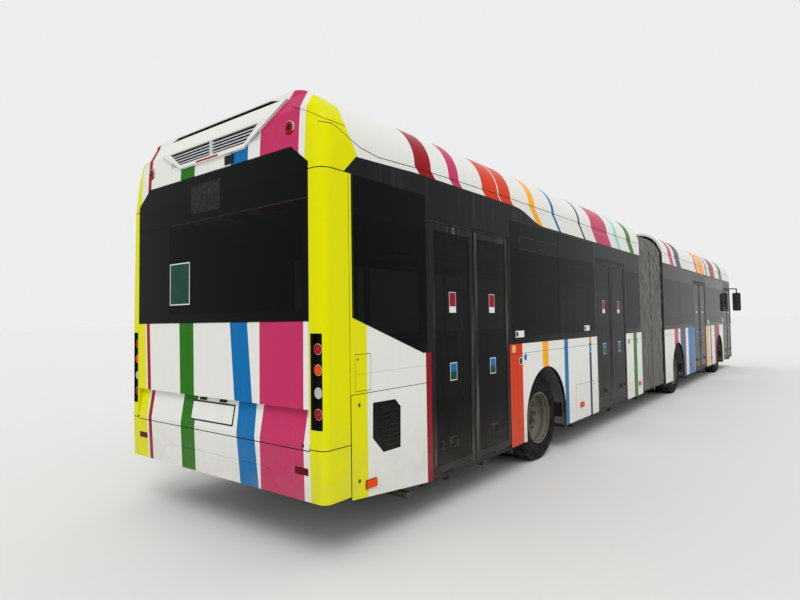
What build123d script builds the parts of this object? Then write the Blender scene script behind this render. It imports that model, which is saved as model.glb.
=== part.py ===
"""Articulated low-floor city bus with three axles and four double doors on its right side.

Millimetres. +X is forward, +Y is the bus's left, +Z is up. The origin is on the ground, under the
middle of the bus. Stations are distances ahead of the rear face, and at() turns one into X.
"""

import os
from math import asin, atan2, cos, degrees, radians, sin, sqrt

from build123d import *

# Overall sizes
OVERALL_LENGTH = 18134
BODY_WIDTH = 2550
OVERALL_HEIGHT = 3280
SKIRT_BOTTOM = 315
FLOOR_TOP = 320
CEILING = 2480
ROOF_JOINT = 2645
HALF_WIDTH = BODY_WIDTH / 2

# Walls, floor and glass
WALL = 45
FLOOR_THICKNESS = 40
ROOF_SKIN = 40
GLASS = 6
GLASS_BED = 0.3
PANEL_GAP = 5
RUNNING_GAP = 6
SEAT_GAP = 0.3
GROOVE = 4
GROOVE_DEPTH = 3
INNER_HALF = HALF_WIDTH - WALL

# The two sections and the gangway between them, as stations
REAR_SECTION_END = 7490
FRONT_SECTION_START = 9128
REAR_FRAME_DEPTH = 50
FRONT_FRAME_DEPTH = 110
FRONT_MASK_START = OVERALL_LENGTH - 334
REAR_PANEL_END = 250
WALL_REAR = REAR_PANEL_END + PANEL_GAP
WALL_FRONT = FRONT_MASK_START - PANEL_GAP

# Axle stations
REAR_AXLE = 3510
MIDDLE_AXLE = 10270
FRONT_AXLE = OVERALL_LENGTH - 2614

# Body outline
SHOULDER_RADIUS = 430
COVER_TOP_WIDTH = 65
ROOF_DECK = OVERALL_HEIGHT - 420

# Windows
WINDOW_SILL = 1355
APERTURE_SILL = 1400
APERTURE_TOP = 2400
PILLAR = 90
PANE_GAP = 8

# Doors
DOOR_TOP = 2460
DOOR_BOTTOM = FLOOR_TOP + 25
LEAF_TOP = DOOR_TOP - 28
LEAF_THICKNESS = 40
LEAF_RECESS = 3
LEAF_FRAME = 62
LEAF_GLASS = 6
POST_RADIUS = 18
POST_BACK = LEAF_RECESS + LEAF_THICKNESS + POST_RADIUS + 12
POST_ASIDE = 34
DOOR_MIDDLE_GAP = 16
ARM_CLEARANCE = 5
ARM_DEPTH = 16
ARM_WIDTH = 26
PIN_RADIUS = 8
PIN_DEPTH = 24

# Door portals: name, rear edge and front edge as stations
DOORS = (
    ("door_4", 1215, 2614),
    ("door_3", 5238, 6609),
    ("door_2", 12020, 13540),
    ("door_1", FRONT_MASK_START - 1300, FRONT_MASK_START - 40),
)
DOOR_EDGE = 50

# Window bays: rear station, front station and number of panes
RIGHT_WINDOWS_REAR = (
    (REAR_PANEL_END + 50, DOORS[0][1] - DOOR_EDGE, 1),
    (DOORS[0][2] + 36, DOORS[1][1] - 48, 2),
    (DOORS[1][2] + 41, REAR_SECTION_END - 50, 1),
)
LEFT_WINDOWS_REAR = ((1900, REAR_SECTION_END - 50, 4),)
RIGHT_WINDOWS_FRONT = (
    (FRONT_SECTION_START + 52, DOORS[2][1] - DOOR_EDGE, 2),
    (DOORS[2][2] + DOOR_EDGE, DOORS[3][1] - DOOR_EDGE, 2),
)
LEFT_WINDOWS_FRONT = (
    (FRONT_SECTION_START + 52, DOORS[3][1] - DOOR_EDGE, 5),
    (DOORS[3][1] + 60, FRONT_MASK_START - 240, 1),
)

# Wheels and axles
TYRE_RADIUS = 478.5
TYRE_WIDTH = 275
TYRE_SHOULDER = 28
BEAD_INSET = 18
RIM_STEEL = 14
RIM_RADIUS = 286
RIM_HOLES = 8
RIM_HOLE_CIRCLE = 205
RIM_HOLE_RADIUS = 30
TWIN_SPACING = 311
WHEEL_FACE = HALF_WIDTH - 90
TWIN_FACE = HALF_WIDTH - 100
HUB_RADIUS = 105
AXLE_RADIUS = 70
ARCH_RADIUS = TYRE_RADIUS + 71.5
ARCH_CENTRE = TYRE_RADIUS + 41.5
ARCH_LIP = 34
ARCH_LIP_PROUD = 5
HOUSING_HALF = ARCH_RADIUS + 52
HOUSING_SKIN = 14
KINGPIN = WHEEL_FACE - 290
KINGPIN_RADIUS = 24
STEERED_HOUSING_INNER = KINGPIN - 335
TWIN_HOUSING_INNER = TWIN_FACE - 655
TWIN_STUB_END = TWIN_FACE - 190
TWIN_UPRIGHT_IN = TWIN_HOUSING_INNER + 20
TWIN_UPRIGHT_OUT = TWIN_HOUSING_INNER + 60
TRACK_ARM = 210
TRACK_ARM_RADIUS = 15
TRACK_BALL = KINGPIN - 12

# Articulation
DISC_RADIUS = 740
DISC_GAP = 6
RACE_RADIUS = 420
HOOP_WIDTH = 60
HOOP_THICKNESS = 90
BELLOWS_BOTTOM = FLOOR_TOP + 10
BELLOWS_TOP = OVERALL_HEIGHT - 90
BELLOWS_THICKNESS = 26
PLEAT_DEPTH = 48
PLEATS = 8
GANGWAY_HALF = HALF_WIDTH - 445
GANGWAY_TOP = 2340
PIVOT = (REAR_SECTION_END + REAR_FRAME_DEPTH + FRONT_SECTION_START - FRONT_FRAME_DEPTH) / 2

# Under the floor
FLOOR_UNDER = FLOOR_TOP - FLOOR_THICKNESS
BEAM_LOW = 150
BEAM_HIGH = 210
BEAM_HALF = 60
RAIL_MIDDLE = TWIN_HOUSING_INNER - 110
RAIL_HALF = 30
CROSSING_HALF = 25
CROSSING_LOW = 235
PAD_RADIUS = 55
PAD_LOW = 195
FRONT_UPRIGHT = KINGPIN - 75
FRONT_UPRIGHT_HALF = 45
BOSS_HALF = 60
BOSS_RADIUS = 45
LUG_TOP = 98
TIE_ROD_HEIGHT = 190
TIE_ROD_RADIUS = 15
BALL_PIN = 9
OPEN_EYE = 7
EYE_WALL = 6
EYE_RISE = 4
DRIVE_OFFSET = RAIL_MIDDLE - 210
DRIVE_HEIGHT = 200
DRIVE_HOUSING = 72
DRIVE_LENGTH = 220
TOW_LUG_WIDTH = 30
TOW_EYE_RADIUS = 20
TOW_LUG_RADIUS = 38
FRONT_TOW_EYE = (OVERALL_LENGTH - 110, 240)
REAR_TOW_EYE = (380, 335)
YOKE_HALF = RAIL_MIDDLE - 20
YOKE_LOW = 195
RACE_LOW = 232
RACE_HIGH = 256
YOKE_HIGH = 280
POST_ROUND = 120
GANGWAY_PLATE_HALF = 550
FRONT_RAILS_END = OVERALL_LENGTH - 434
REAR_RAILS_START = 900
FRONT_CROSSINGS = (9300, 11200, 12700, 14300, FRONT_AXLE + 880, FRONT_RAILS_END - 100)
REAR_CROSSINGS = (950, 1550, 2150, 2700, 4400, 5900, 7300)
FRONT_PADS = (11700, OVERALL_LENGTH - 1134)
REAR_PADS = (2500,)

# Roofs
FRONT_HEAD_START = OVERALL_LENGTH - 984
REAR_HEAD_END = 620
UNIT_CHAMFER = 40
FAN_RADIUS = 235
FAN_DEPTH = 45
FAN_HUB = 70
FAN_GUARD = 8
FAN_ARMS = 3

# Roof units: name, rear and front station, half width, top, and stations of the fans
FRONT_ROOF_UNITS = (
    ("batteries", 9900, 11500, 700, 3140, ()),
    ("cooler", 12300, 14900, 730, 3200, (12850, 13600, 14350)),
)
REAR_ROOF_UNITS = (
    ("cooler", 2600, 5000, 730, 3200, (3050, 3800, 4550)),
    ("silencer", 1000, 2100, 600, 3100, ()),
)

# Rear face: height above the ground, station and corner radius, from the bumper to the roof edge
REAR_FACE = (
    (SKIRT_BOTTOM, 14, 62),
    (763, 0, 62),
    (1620, 0, 62),
    (ROOF_JOINT, 4, 90),
    (2950, 18, 150),
    (3100, 30, 210),
    (OVERALL_HEIGHT - 55, 95, 280),
    (OVERALL_HEIGHT, 105, 330),
)

# Rear end
PILLAR_LINE = HALF_WIDTH - 133
BUMPER_BOTTOM = 430
LID_BOTTOM = 763
LID_STEP = 1037
LID_FLUSH = 800
LID_RECESS = 42
LID_HEEL = 20
REAR_WINDOW_LOW = 1620
REAR_WINDOW_SHOULDER = 2700
REAR_WINDOW_TOP = 2838
REAR_WINDOW_CHAMFER = 180
WINDOW_LINE_HEIGHT = 2455
WINDOW_LINE_SIDE = 600
HATCH_FRONT = DOORS[0][1] - 39
HATCH_TOP = 1115
FLAP = (300, 467, 1130, 1390)
SKIRT_FLAPS = ((4400, 4745, 765), (4745, 5096, 765))
PANEL_LINE = 1250
HATCH_GRILLE = ((483, 1036), (738, 1032), (803, 970), (796, 666), (594, 665), (478, 785))
HATCH_GRILLE_DEPTH = 12
HATCH_SLAT = 8
HATCH_SLAT_PITCH = 36
QUARTER_RISE = 296
QUARTER_END = 1108
PILLAR_JOINT = 776
REAR_RIGHT_JOINT = 2775

# Roof end fascia: the raised grille frame's half widths and heights from below, and the air slot
FRAME_CORNERS = ((436, 2934), (743, 3098), (850, 3222))
FRAME_FACE = ((0, 2934), (8, 3100), (70, 3222), (140, 3222), (140, 2934))
SLATS_LOW = (446, 2966)
SLATS_HIGH = (609, 3084)
SLATS = 4
SLATS_DEPTH = 46
SLAT_THICKNESS = 9
SLAT_REAR = 10
SLAT_RISE = 12
AIR_SLOT_LOW = (800, 3228)
AIR_SLOT_HIGH = (640, 3268)
AIR_SLOT_DEPTH = 190
COVER_GAP = (
    (0, 2978), (156, 2947), (284, 2890), (383, 2854), (580, 2828), (1050, 2848), (1690, 2860), (2700, 2872)
)
CORNER_GAP = ((-1275, 2972), (-1232, 2991), (-1115, 3057), (-1028, 3095), (-930, 3140))
COVER_GAP_DEPTH = 8
SIDE_GAP_HEIGHT = 2872
TRAPEZOID = ((-818, 444), (-728, 590), (-635, 602), (610, 602), (700, 560), (790, 437))
CAMERA_POD = (-300, -190, 2848, 2918)
CENTRE_RIB = 40
SCREEN_LOW = 980
BUMPER_LINE = 640
INTAKE_HALF = 520
INTAKE_LOW = 400
INTAKE_SLOT = 16
INTAKE_PITCH = 32
INTAKE_SLOTS = 4
RADIATOR = (1150, 1850, 560, 1225)
RADIATOR_SLATS = 14

# Rear platform and engine tower
TOWER_FRONT = 2500
TOWER_RIGHT = 230
TOWER_TOP = 1450
TOWER_SKIN = 20
STEP_FRONT = 1150
STEP_TOP = 640
ENGINE_REAR = 420
ENGINE_FRONT = 2250
ENGINE_RIGHT = TOWER_RIGHT + 110
ENGINE_LEFT = INNER_HALF - 100
ENGINE_TAIL_LOW = 470
ENGINE_TOP = 1250
ENGINE_SHOULDER = 1060
HEAD_COVER = (560, 1900, 500, 960)
PULLEYS = ((560, 760, 130), (880, 720, 90), (730, 960, 75))
PULLEY_REAR = 360
ENGINE_RIBS = (700, 1000, 1300, 1600, 1900)
ENGINE_RIB = 18

# Driver's place
CAB_REAR = FRONT_AXLE + HOUSING_HALF + HOUSING_SKIN + 44
CAB_FRONT = FRONT_MASK_START - 550
CAB_RIGHT = 330
CAB_WALL = 22
CAB_TOP = 1500
CAB_FLOOR = 520
CAB_SEAT = CAB_REAR + 440
CAB_SEAT_MIDDLE = INNER_HALF - 440
DESK_REAR = CAB_FRONT
DESK_FRONT = FRONT_MASK_START - 60
DESK_LOW = 900
DESK_TOP = 1130
DESK_RIGHT = 440
STEERING_RADIUS = 235
STEERING_TILT = 25

# Lamps and mirrors
TAIL_LAMP_HEIGHTS = (1439, 1301, 1150, 1010)
TAIL_LAMP_OUT = HALF_WIDTH - 72
TAIL_LAMP_RADIUS = 41
TAIL_POCKET_IN = HALF_WIDTH - 121
TAIL_POCKET_OUT = HALF_WIDTH - 24
TAIL_POCKET_LOW = 909
TAIL_POCKET_HIGH = 1543
TAIL_POCKET_DEPTH = 56
TAIL_POCKET_BACK = 80
TAIL_LAMP_FRONT = 20
TAIL_PLATE = 8
TAIL_POCKET_SKIN = 10
LENS_ROUND = 8
HIGH_LAMP = (941, 2977)
HIGH_LAMP_RADIUS = 54
HIGH_LAMP_DEPTH = 34
HIGH_LAMP_FRONT = 12
BRAKE_STRIP = (-110, 200, 2938, 2954)
BRAKE_STRIP_DEPTH = 8
HEADLAMP_IN = HALF_WIDTH - 515
HEADLAMP_OUT = HALF_WIDTH - 60
HEADLAMP_LOW = 560
HEADLAMP_HIGH = 780
MIRROR_ARM_RADIUS = 17
MIRROR_REAR = FRONT_MASK_START + 100
MIRROR_FRONT = MIRROR_REAR + 85
MIRROR_IN = HALF_WIDTH + 65
MIRROR_OUT = HALF_WIDTH + 285
MIRROR_LOW = 1760
MIRROR_HIGH = 2330

# Seats, as station and side of the bus
SEAT_HEIGHT = 430
SEAT_WIDTH = 430
SEAT_SPACING = 450
SEAT_SHELL = 40
SEAT_WALL_GAP = 20
SEAT_BACK = 610
SEAT_CORNER = 60
SEAT_BEAM = 45
SEAT_LEG = 22
SEAT_LEG_IN = 140
SEAT_FOOT = 10
BENCH_STATION = 560
FRONT_SEATS = ((11400, 1), (12180, 1), (12960, 1), (13740, 1), (14520, 1), (11400, -1), (14400, -1))
REAR_SEATS = ((4640, 1), (5420, 1), (6200, 1), (6980, 1), (4700, -1), (7080, -1))

# Grab poles: stations on the left and on the right of the aisle, and the height of the rail between them
POLE_RADIUS = 17
POLE_LEFT = INNER_HALF - 930
POLE_RIGHT = 845 - HALF_WIDTH
HANDRAIL_HEIGHT = 1960
FRONT_LEFT_POLES = (11000, 12800, 14700)
FRONT_RIGHT_POLES = (12180, 13400, FRONT_AXLE + 900)
REAR_LEFT_POLES = (4300, 6000)
REAR_RIGHT_POLES = (2700, 5200, 6650)

# Front face: height, setback from the foremost point, big radius and corner radius
FRONT_FACE = (
    (SKIRT_BOTTOM, 24, 7000, 150),
    (640, 0, 7000, 150),
    (1050, 0, 7000, 150),
    (ROOF_JOINT, 140, 8400, 112),
    (OVERALL_HEIGHT, 420, 9000, 90),
)


def at(station):
    """X of a distance ahead of the rear face."""
    return station - OVERALL_LENGTH / 2


def block(rear, front, right, left, low, high):
    """A box between two stations, two widths and two heights."""
    middle = Pos(at((rear + front) / 2), (right + left) / 2, (low + high) / 2)
    return middle * Box(front - rear, left - right, high - low)


def across(face, right, left):
    """A face drawn in X and Z, extruded from one width to another."""
    return extrude(Pos(0, left, 0) * (Plane.XZ * face), left - right)


def along(face, rear, front):
    """A face drawn in Y and Z, extruded from one station to another."""
    return extrude(Pos(at(rear), 0, 0) * (Plane.YZ * face), front - rear)


def upward(face, low, high):
    """A face drawn in X and Y, extruded from one height to another."""
    return extrude(Pos(0, 0, low) * face, high - low)


def rod(radius, start, end):
    """A round bar between two points."""
    axis = Vector(*end) - Vector(*start)
    return extrude(Plane(origin=start, z_dir=axis) * Circle(radius), axis.length)


def fuse(pieces):
    """One part from a list of pieces."""
    pieces = list(pieces)
    return pieces[0].fuse(*pieces[1:]) if len(pieces) > 1 else pieces[0]


def mirrored(piece):
    """The same piece on the other side of the bus."""
    return mirror(piece, about=Plane.XZ)


def inverted_u(half, low, top, radius):
    """Closed outline of a body cross-section with round shoulders."""
    centre = half - radius
    lift = radius * sin(radians(45))
    return make_face(
        Curve()
        + Line((-half, low), (-half, top - radius))
        + ThreePointArc((-half, top - radius), (-centre - lift, top - radius + lift), (-centre, top))
        + Line((-centre, top), (centre, top))
        + ThreePointArc((centre, top), (centre + lift, top - radius + lift), (half, top - radius))
        + Line((half, top - radius), (half, low))
        + Line((half, low), (-half, low))
    )


def hoop_face(half, low, top, radius, thickness):
    """Cross-section of an inverted U of one thickness, open at the bottom."""
    inner = inverted_u(half - thickness, low, top - thickness, radius - thickness)
    return inverted_u(half, low, top, radius) - inner


def ribbon(points, width):
    """Thin face along a line, as wide as a parting gap."""
    lower_edge = [(place, height - width) for place, height in points[::-1]]
    return make_face(Polyline(*points, *lower_edge, close=True))


def rear_plan(station, corner, inset):
    """Plan of the rear section at one height, with round rear corners."""
    half = HALF_WIDTH - inset
    start = at(station + inset)
    end = at(REAR_SECTION_END)
    radius = corner - inset / 2
    lift = radius * (1 - cos(radians(45)))
    return make_face(
        Curve()
        + Line((end, -half), (start + radius, -half))
        + ThreePointArc((start + radius, -half), (start + lift, -half + lift), (start, -half + radius))
        + Line((start, -half + radius), (start, half - radius))
        + ThreePointArc((start, half - radius), (start + lift, half - lift), (start + radius, half))
        + Line((start + radius, half), (end, half))
        + Line((end, half), (end, -half))
    )


def front_plan(setback, big, corner, inset):
    """Plan of the front section at one height: a wide bowed face between round corners."""
    half = HALF_WIDTH - inset
    big = big - inset
    corner = corner - inset
    nose = at(OVERALL_LENGTH - setback - inset)
    corner_y = half - corner
    turn = asin(corner_y / (big - corner))
    corner_x = nose - big + (big - corner) * cos(turn)
    meet = (nose - big + big * cos(turn), big * sin(turn))
    half_turn = (radians(90) + turn) / 2
    bulge = (corner_x + corner * cos(half_turn), corner_y + corner * sin(half_turn))
    start = at(FRONT_SECTION_START)
    return make_face(
        Curve()
        + Line((start, half), (corner_x, half))
        + ThreePointArc((corner_x, half), bulge, meet)
        + ThreePointArc(meet, (nose, 0), (meet[0], -meet[1]))
        + ThreePointArc((meet[0], -meet[1]), (bulge[0], -bulge[1]), (corner_x, -half))
        + Line((corner_x, -half), (start, -half))
        + Line((start, -half), (start, half))
    )


def stack(faces):
    """Solid through plans at rising heights, straight between each two."""
    return loft([Pos(0, 0, height) * face for height, face in faces], ruled=True)


def rear_envelope(inset):
    """Outer form of the rear section, moved inward by inset."""
    return stack([(height, rear_plan(station, corner, inset)) for height, station, corner in REAR_FACE])


def front_envelope(inset):
    """Outer form of the front section, moved inward by inset."""
    return stack([(height, front_plan(back, big, corner, inset)) for height, back, big, corner in FRONT_FACE])


def roof_face(skin):
    """Cross-section of the roof: deck between two curved shoulder covers, moved inward by skin."""
    half = HALF_WIDTH - skin
    inner = INNER_HALF - skin
    radius = SHOULDER_RADIUS - skin
    centre = HALF_WIDTH - SHOULDER_RADIUS
    shoulder = OVERALL_HEIGHT - SHOULDER_RADIUS
    top = OVERALL_HEIGHT - skin
    lip = centre - COVER_TOP_WIDTH + skin
    deck = ROOF_DECK - skin
    low = CEILING + skin
    joint = ROOF_JOINT + skin
    lift = radius * sin(radians(45))
    left = (
        Curve()
        + Line((0, deck), (lip, deck))
        + Line((lip, deck), (lip, top))
        + Line((lip, top), (centre, top))
        + ThreePointArc((centre, top), (centre + lift, shoulder + lift), (half, shoulder))
        + Line((half, shoulder), (half, joint))
        + Line((half, joint), (inner, joint))
        + Line((inner, joint), (inner, low))
        + Line((inner, low), (0, low))
        + Line((0, low), (0, deck))
    )
    face = make_face(left)
    return face + mirror(face, about=Plane.YZ)


def head_face(skin):
    """Full cross-section of the roof above the joint, without the trough, moved inward by skin."""
    return inverted_u(HALF_WIDTH - skin, ROOF_JOINT + skin, OVERALL_HEIGHT - skin, SHOULDER_RADIUS - skin)


def roof_unit(rear, front, half, top, fans):
    """Box on the roof deck with a sunk fan at each of the given stations."""
    unit = block(rear, front, -half, half, ROOF_DECK, top)
    unit = chamfer(unit.edges().group_by(Axis.Z)[-1], UNIT_CHAMFER)
    for station in fans:
        foot = (at(station), 0, top - FAN_DEPTH)
        unit -= rod(FAN_RADIUS, foot, (foot[0], 0, top))
        unit += rod(FAN_HUB, foot, (foot[0], 0, top - FAN_GUARD))
        for turn in range(0, 180, 180 // FAN_ARMS):
            arm = Rot(0, 0, turn) * Rectangle(2 * FAN_RADIUS, FAN_GUARD)
            unit += Pos(foot[0], 0, 0) * upward(arm, top - 2 * FAN_GUARD, top - FAN_GUARD)
    return unit


def arch(axle, right, left):
    """Round wheel opening, straight below its centre."""
    opening = Pos(at(axle), ARCH_CENTRE) * Circle(ARCH_RADIUS)
    below = Pos(at(axle), ARCH_CENTRE / 2) * Rectangle(2 * ARCH_RADIUS, ARCH_CENTRE)
    return across(opening + below, right, left)


def arch_lip(axle):
    """Pressed ring that stands proud around a wheel opening, on the right side."""
    outer = Pos(at(axle), ARCH_CENTRE) * Circle(ARCH_RADIUS + ARCH_LIP)
    legs = Pos(at(axle), ARCH_CENTRE / 2) * Rectangle(2 * (ARCH_RADIUS + ARCH_LIP), ARCH_CENTRE)
    face = -HALF_WIDTH - ARCH_LIP_PROUD
    ring = across(outer + legs, face, -HALF_WIDTH) - arch(axle, face, -HALF_WIDTH)
    reach = 2 * ARCH_RADIUS
    return ring - block(axle - reach, axle + reach, face, -HALF_WIDTH, -reach, SKIRT_BOTTOM)


def panes(bays):
    """Rear and front edge of each pane of the window bays."""
    for rear, front, count in bays:
        pitch = (front - rear + PANE_GAP) / count
        for number in range(count):
            start = rear + number * pitch
            yield start, start + pitch - PANE_GAP


def pressed(rear, front, low, high):
    """Thin line pressed into the right side."""
    return block(rear, front, -HALF_WIDTH, -HALF_WIDTH + GROOVE_DEPTH, low, high)


def panel_edge(rear, front, low, high):
    """Thin closed line round a flap on the right side."""
    middle = pressed(rear + GROOVE, front - GROOVE, low + GROOVE, high - GROOVE)
    return pressed(rear, front, low, high) - middle


def louvre(rear, front, low, high, count):
    """Row of level slots through the right wall."""
    pitch = (high - low) / count
    return [
        block(rear, front, -HALF_WIDTH, -INNER_HALF, low + number * pitch, low + (number + 0.5) * pitch)
        for number in range(count)
    ]


def side_wall(rear, front, bays, axles, doors):
    """Right-hand wall with its glass bed, windows, wheel openings and door portals."""
    wall = block(rear, front, -HALF_WIDTH, -INNER_HALF, SKIRT_BOTTOM, ROOF_JOINT)
    bed = GLASS + GLASS_BED
    cuts = []
    for start, end, _ in bays:
        cuts.append(block(start, end, -HALF_WIDTH, -HALF_WIDTH + bed, WINDOW_SILL, ROOF_JOINT - PANEL_GAP))
    for start, end in panes(bays):
        cuts.append(
            block(start + PILLAR / 2, end - PILLAR / 2, -HALF_WIDTH, -INNER_HALF, APERTURE_SILL, APERTURE_TOP)
        )
    cuts += [arch(axle, -HALF_WIDTH, -INNER_HALF) for axle in axles]
    cuts += [block(start, end, -HALF_WIDTH, -INNER_HALF, SKIRT_BOTTOM, DOOR_TOP) for _, start, end in doors]
    cuts.append(pressed(rear, front, PANEL_LINE, PANEL_LINE + GROOVE))
    wall = wall.cut(*cuts)
    return fuse([wall] + [arch_lip(axle) for axle in axles])


def side_glass(bays):
    """Flush side panes, on the right."""
    return [
        block(start, end, -HALF_WIDTH, -HALF_WIDTH + GLASS, WINDOW_SILL + 3, ROOF_JOINT - PANEL_GAP - 3)
        for start, end in panes(bays)
    ]


def tyre_profile(middle, width):
    """Half-section of a tyre from its bead to its tread, in Y and Z about the axle line."""
    half = width / 2
    return make_face(
        Polyline(
            (middle - half + BEAD_INSET, RIM_RADIUS),
            (middle - half, (RIM_RADIUS + TYRE_RADIUS) / 2),
            (middle - half + 6, TYRE_RADIUS - TYRE_SHOULDER),
            (middle - half + TYRE_SHOULDER, TYRE_RADIUS),
            (middle + half - TYRE_SHOULDER, TYRE_RADIUS),
            (middle + half - 6, TYRE_RADIUS - TYRE_SHOULDER),
            (middle + half, (RIM_RADIUS + TYRE_RADIUS) / 2),
            (middle + half - BEAD_INSET, RIM_RADIUS),
            close=True,
        )
    )


def rim_profile(middle, disc):
    """Section of a rim with its disc at a given width, down to the axle bore."""
    half = TYRE_WIDTH / 2 - BEAD_INSET
    bore = AXLE_RADIUS + SEAT_GAP
    start = min(middle - half, disc - RIM_STEEL / 2)
    end = max(middle + half, disc + RIM_STEEL / 2)
    barrel = Pos((start + end) / 2, RIM_RADIUS - RIM_STEEL / 2) * Rectangle(end - start, RIM_STEEL)
    web = Pos(disc, (RIM_RADIUS + bore) / 2 - 2) * Rectangle(RIM_STEEL, RIM_RADIUS - bore - 4)
    return barrel + web


def wheel(axle, right_face, twin):
    """Right-hand wheel, or pair of wheels, as one turned body."""
    middle = -right_face + TYRE_WIDTH / 2
    profile = tyre_profile(middle, TYRE_WIDTH)
    inner = middle
    if twin:
        inner = middle + TWIN_SPACING
        join = middle + TWIN_SPACING / 2
        profile = profile + rim_profile(middle, join - 7) + tyre_profile(inner, TYRE_WIDTH)
        profile = profile + rim_profile(inner, join + 7)
        hub = Pos(join, (HUB_RADIUS + AXLE_RADIUS + SEAT_GAP) / 2) * Rectangle(
            180, HUB_RADIUS - AXLE_RADIUS - SEAT_GAP
        )
        holes_at = join
    else:
        face = middle - 40
        profile = profile + rim_profile(middle, face)
        hub = Pos(middle, (HUB_RADIUS + AXLE_RADIUS + SEAT_GAP) / 2) * Rectangle(
            150, HUB_RADIUS - AXLE_RADIUS - SEAT_GAP
        )
        holes_at = face
    turned = revolve(Plane.YZ * (profile + hub), Axis.Y)
    hole = Cylinder(RIM_HOLE_RADIUS, 4 * RIM_STEEL)
    places = PolarLocations(RIM_HOLE_CIRCLE, RIM_HOLES)
    cutters = [Pos(0, holes_at, 0) * (Rot(90, 0, 0) * (place * hole)) for place in places]
    return Pos(at(axle), 0, TYRE_RADIUS) * turned.cut(*cutters)


def door_half(rear, front, hinge_front):
    """Turning post with its two arms, and the leaf they carry, for one half of a double door."""
    width = (front - rear - DOOR_MIDDLE_GAP) / 2 - RUNNING_GAP
    arm = door_arm(rear, front)
    edge, way = (front, -1) if hinge_front else (rear, 1)
    post_x = edge - way * POST_ASIDE
    post_y = -HALF_WIDTH + POST_BACK
    pivot_x = post_x + way * arm
    outer = -HALF_WIDTH + LEAF_RECESS
    inner = outer + LEAF_THICKNESS
    pivot_y = (outer + inner) / 2
    low_x, high_x = sorted((edge + way * RUNNING_GAP, edge + way * (RUNNING_GAP + width)))
    glass = (DOOR_BOTTOM + LEAF_FRAME, LEAF_TOP - LEAF_FRAME)
    leaf = block(low_x, high_x, outer, inner, DOOR_BOTTOM, LEAF_TOP)
    leaf -= block(low_x + LEAF_FRAME, high_x - LEAF_FRAME, outer, inner, *glass)
    leaf += block(low_x + LEAF_FRAME, high_x - LEAF_FRAME, outer + 4, outer + 4 + LEAF_GLASS, *glass)
    post_low = (at(post_x), post_y, FLOOR_TOP + SEAT_GAP)
    post_high = (at(post_x), post_y, CEILING - SEAT_GAP)
    post = rod(POST_RADIUS, post_low, post_high)
    reach = sqrt(arm**2 + (pivot_y - post_y) ** 2)
    turn = degrees(atan2(pivot_y - post_y, way * arm))
    for low, pin_low, pin_high in (
        (FLOOR_TOP + 4, FLOOR_TOP + 4, DOOR_BOTTOM + PIN_DEPTH),
        (LEAF_TOP + ARM_CLEARANCE, LEAF_TOP - PIN_DEPTH, LEAF_TOP + ARM_CLEARANCE + ARM_DEPTH),
    ):
        bar = Pos(reach / 2, 0) * Rectangle(reach, ARM_WIDTH) + Pos(reach, 0) * Circle(ARM_WIDTH / 2)
        post += Pos(at(post_x), post_y, 0) * (Rot(0, 0, turn) * upward(bar, low, low + ARM_DEPTH))
        pin = rod(PIN_RADIUS, (at(pivot_x), pivot_y, pin_low), (at(pivot_x), pivot_y, pin_high))
        post += pin
    for low, high in ((DOOR_BOTTOM, DOOR_BOTTOM + PIN_DEPTH + 2), (LEAF_TOP - PIN_DEPTH - 2, LEAF_TOP)):
        leaf -= rod(PIN_RADIUS + SEAT_GAP, (at(pivot_x), pivot_y, low), (at(pivot_x), pivot_y, high))
    return post, leaf


def door_arm(rear, front):
    """Length of a door arm along the bus, which puts its pivot where the leaf's leading edge keeps
    to the line of the wall."""
    width = (front - rear - DOOR_MIDDLE_GAP) / 2 - RUNNING_GAP
    return (width + RUNNING_GAP + POST_ASIDE) / 2


def portal_axle(station, upright_in, upright_out, upright_half, stub_end):
    """Low beam under the floor with an upright and a stub at each end."""
    beam = block(station - BEAM_HALF, station + BEAM_HALF, -upright_out, upright_out, BEAM_LOW, BEAM_HIGH)
    rear, front = station - upright_half, station + upright_half
    ends = []
    for side in (-1, 1):
        right, left = sorted((side * upright_in, side * upright_out))
        ends.append(block(rear, front, right, left, BEAM_LOW, TYRE_RADIUS + AXLE_RADIUS))
        if stub_end:
            start = (at(station), side * upright_in, TYRE_RADIUS)
            ends.append(rod(AXLE_RADIUS, start, (at(station), side * stub_end, TYRE_RADIUS)))
    return fuse([beam] + ends)


def kingpin_boss(side):
    """End of the front axle that the kingpin turns in."""
    x = at(FRONT_AXLE)
    y = side * KINGPIN
    low = TYRE_RADIUS - BOSS_HALF
    high = TYRE_RADIUS + BOSS_HALF
    right, left = sorted((side * (FRONT_UPRIGHT - 10), y))
    web = block(FRONT_AXLE - 30, FRONT_AXLE + 30, right, left, low, high)
    return web + rod(BOSS_RADIUS, (x, y, low), (x, y, high))


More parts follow.
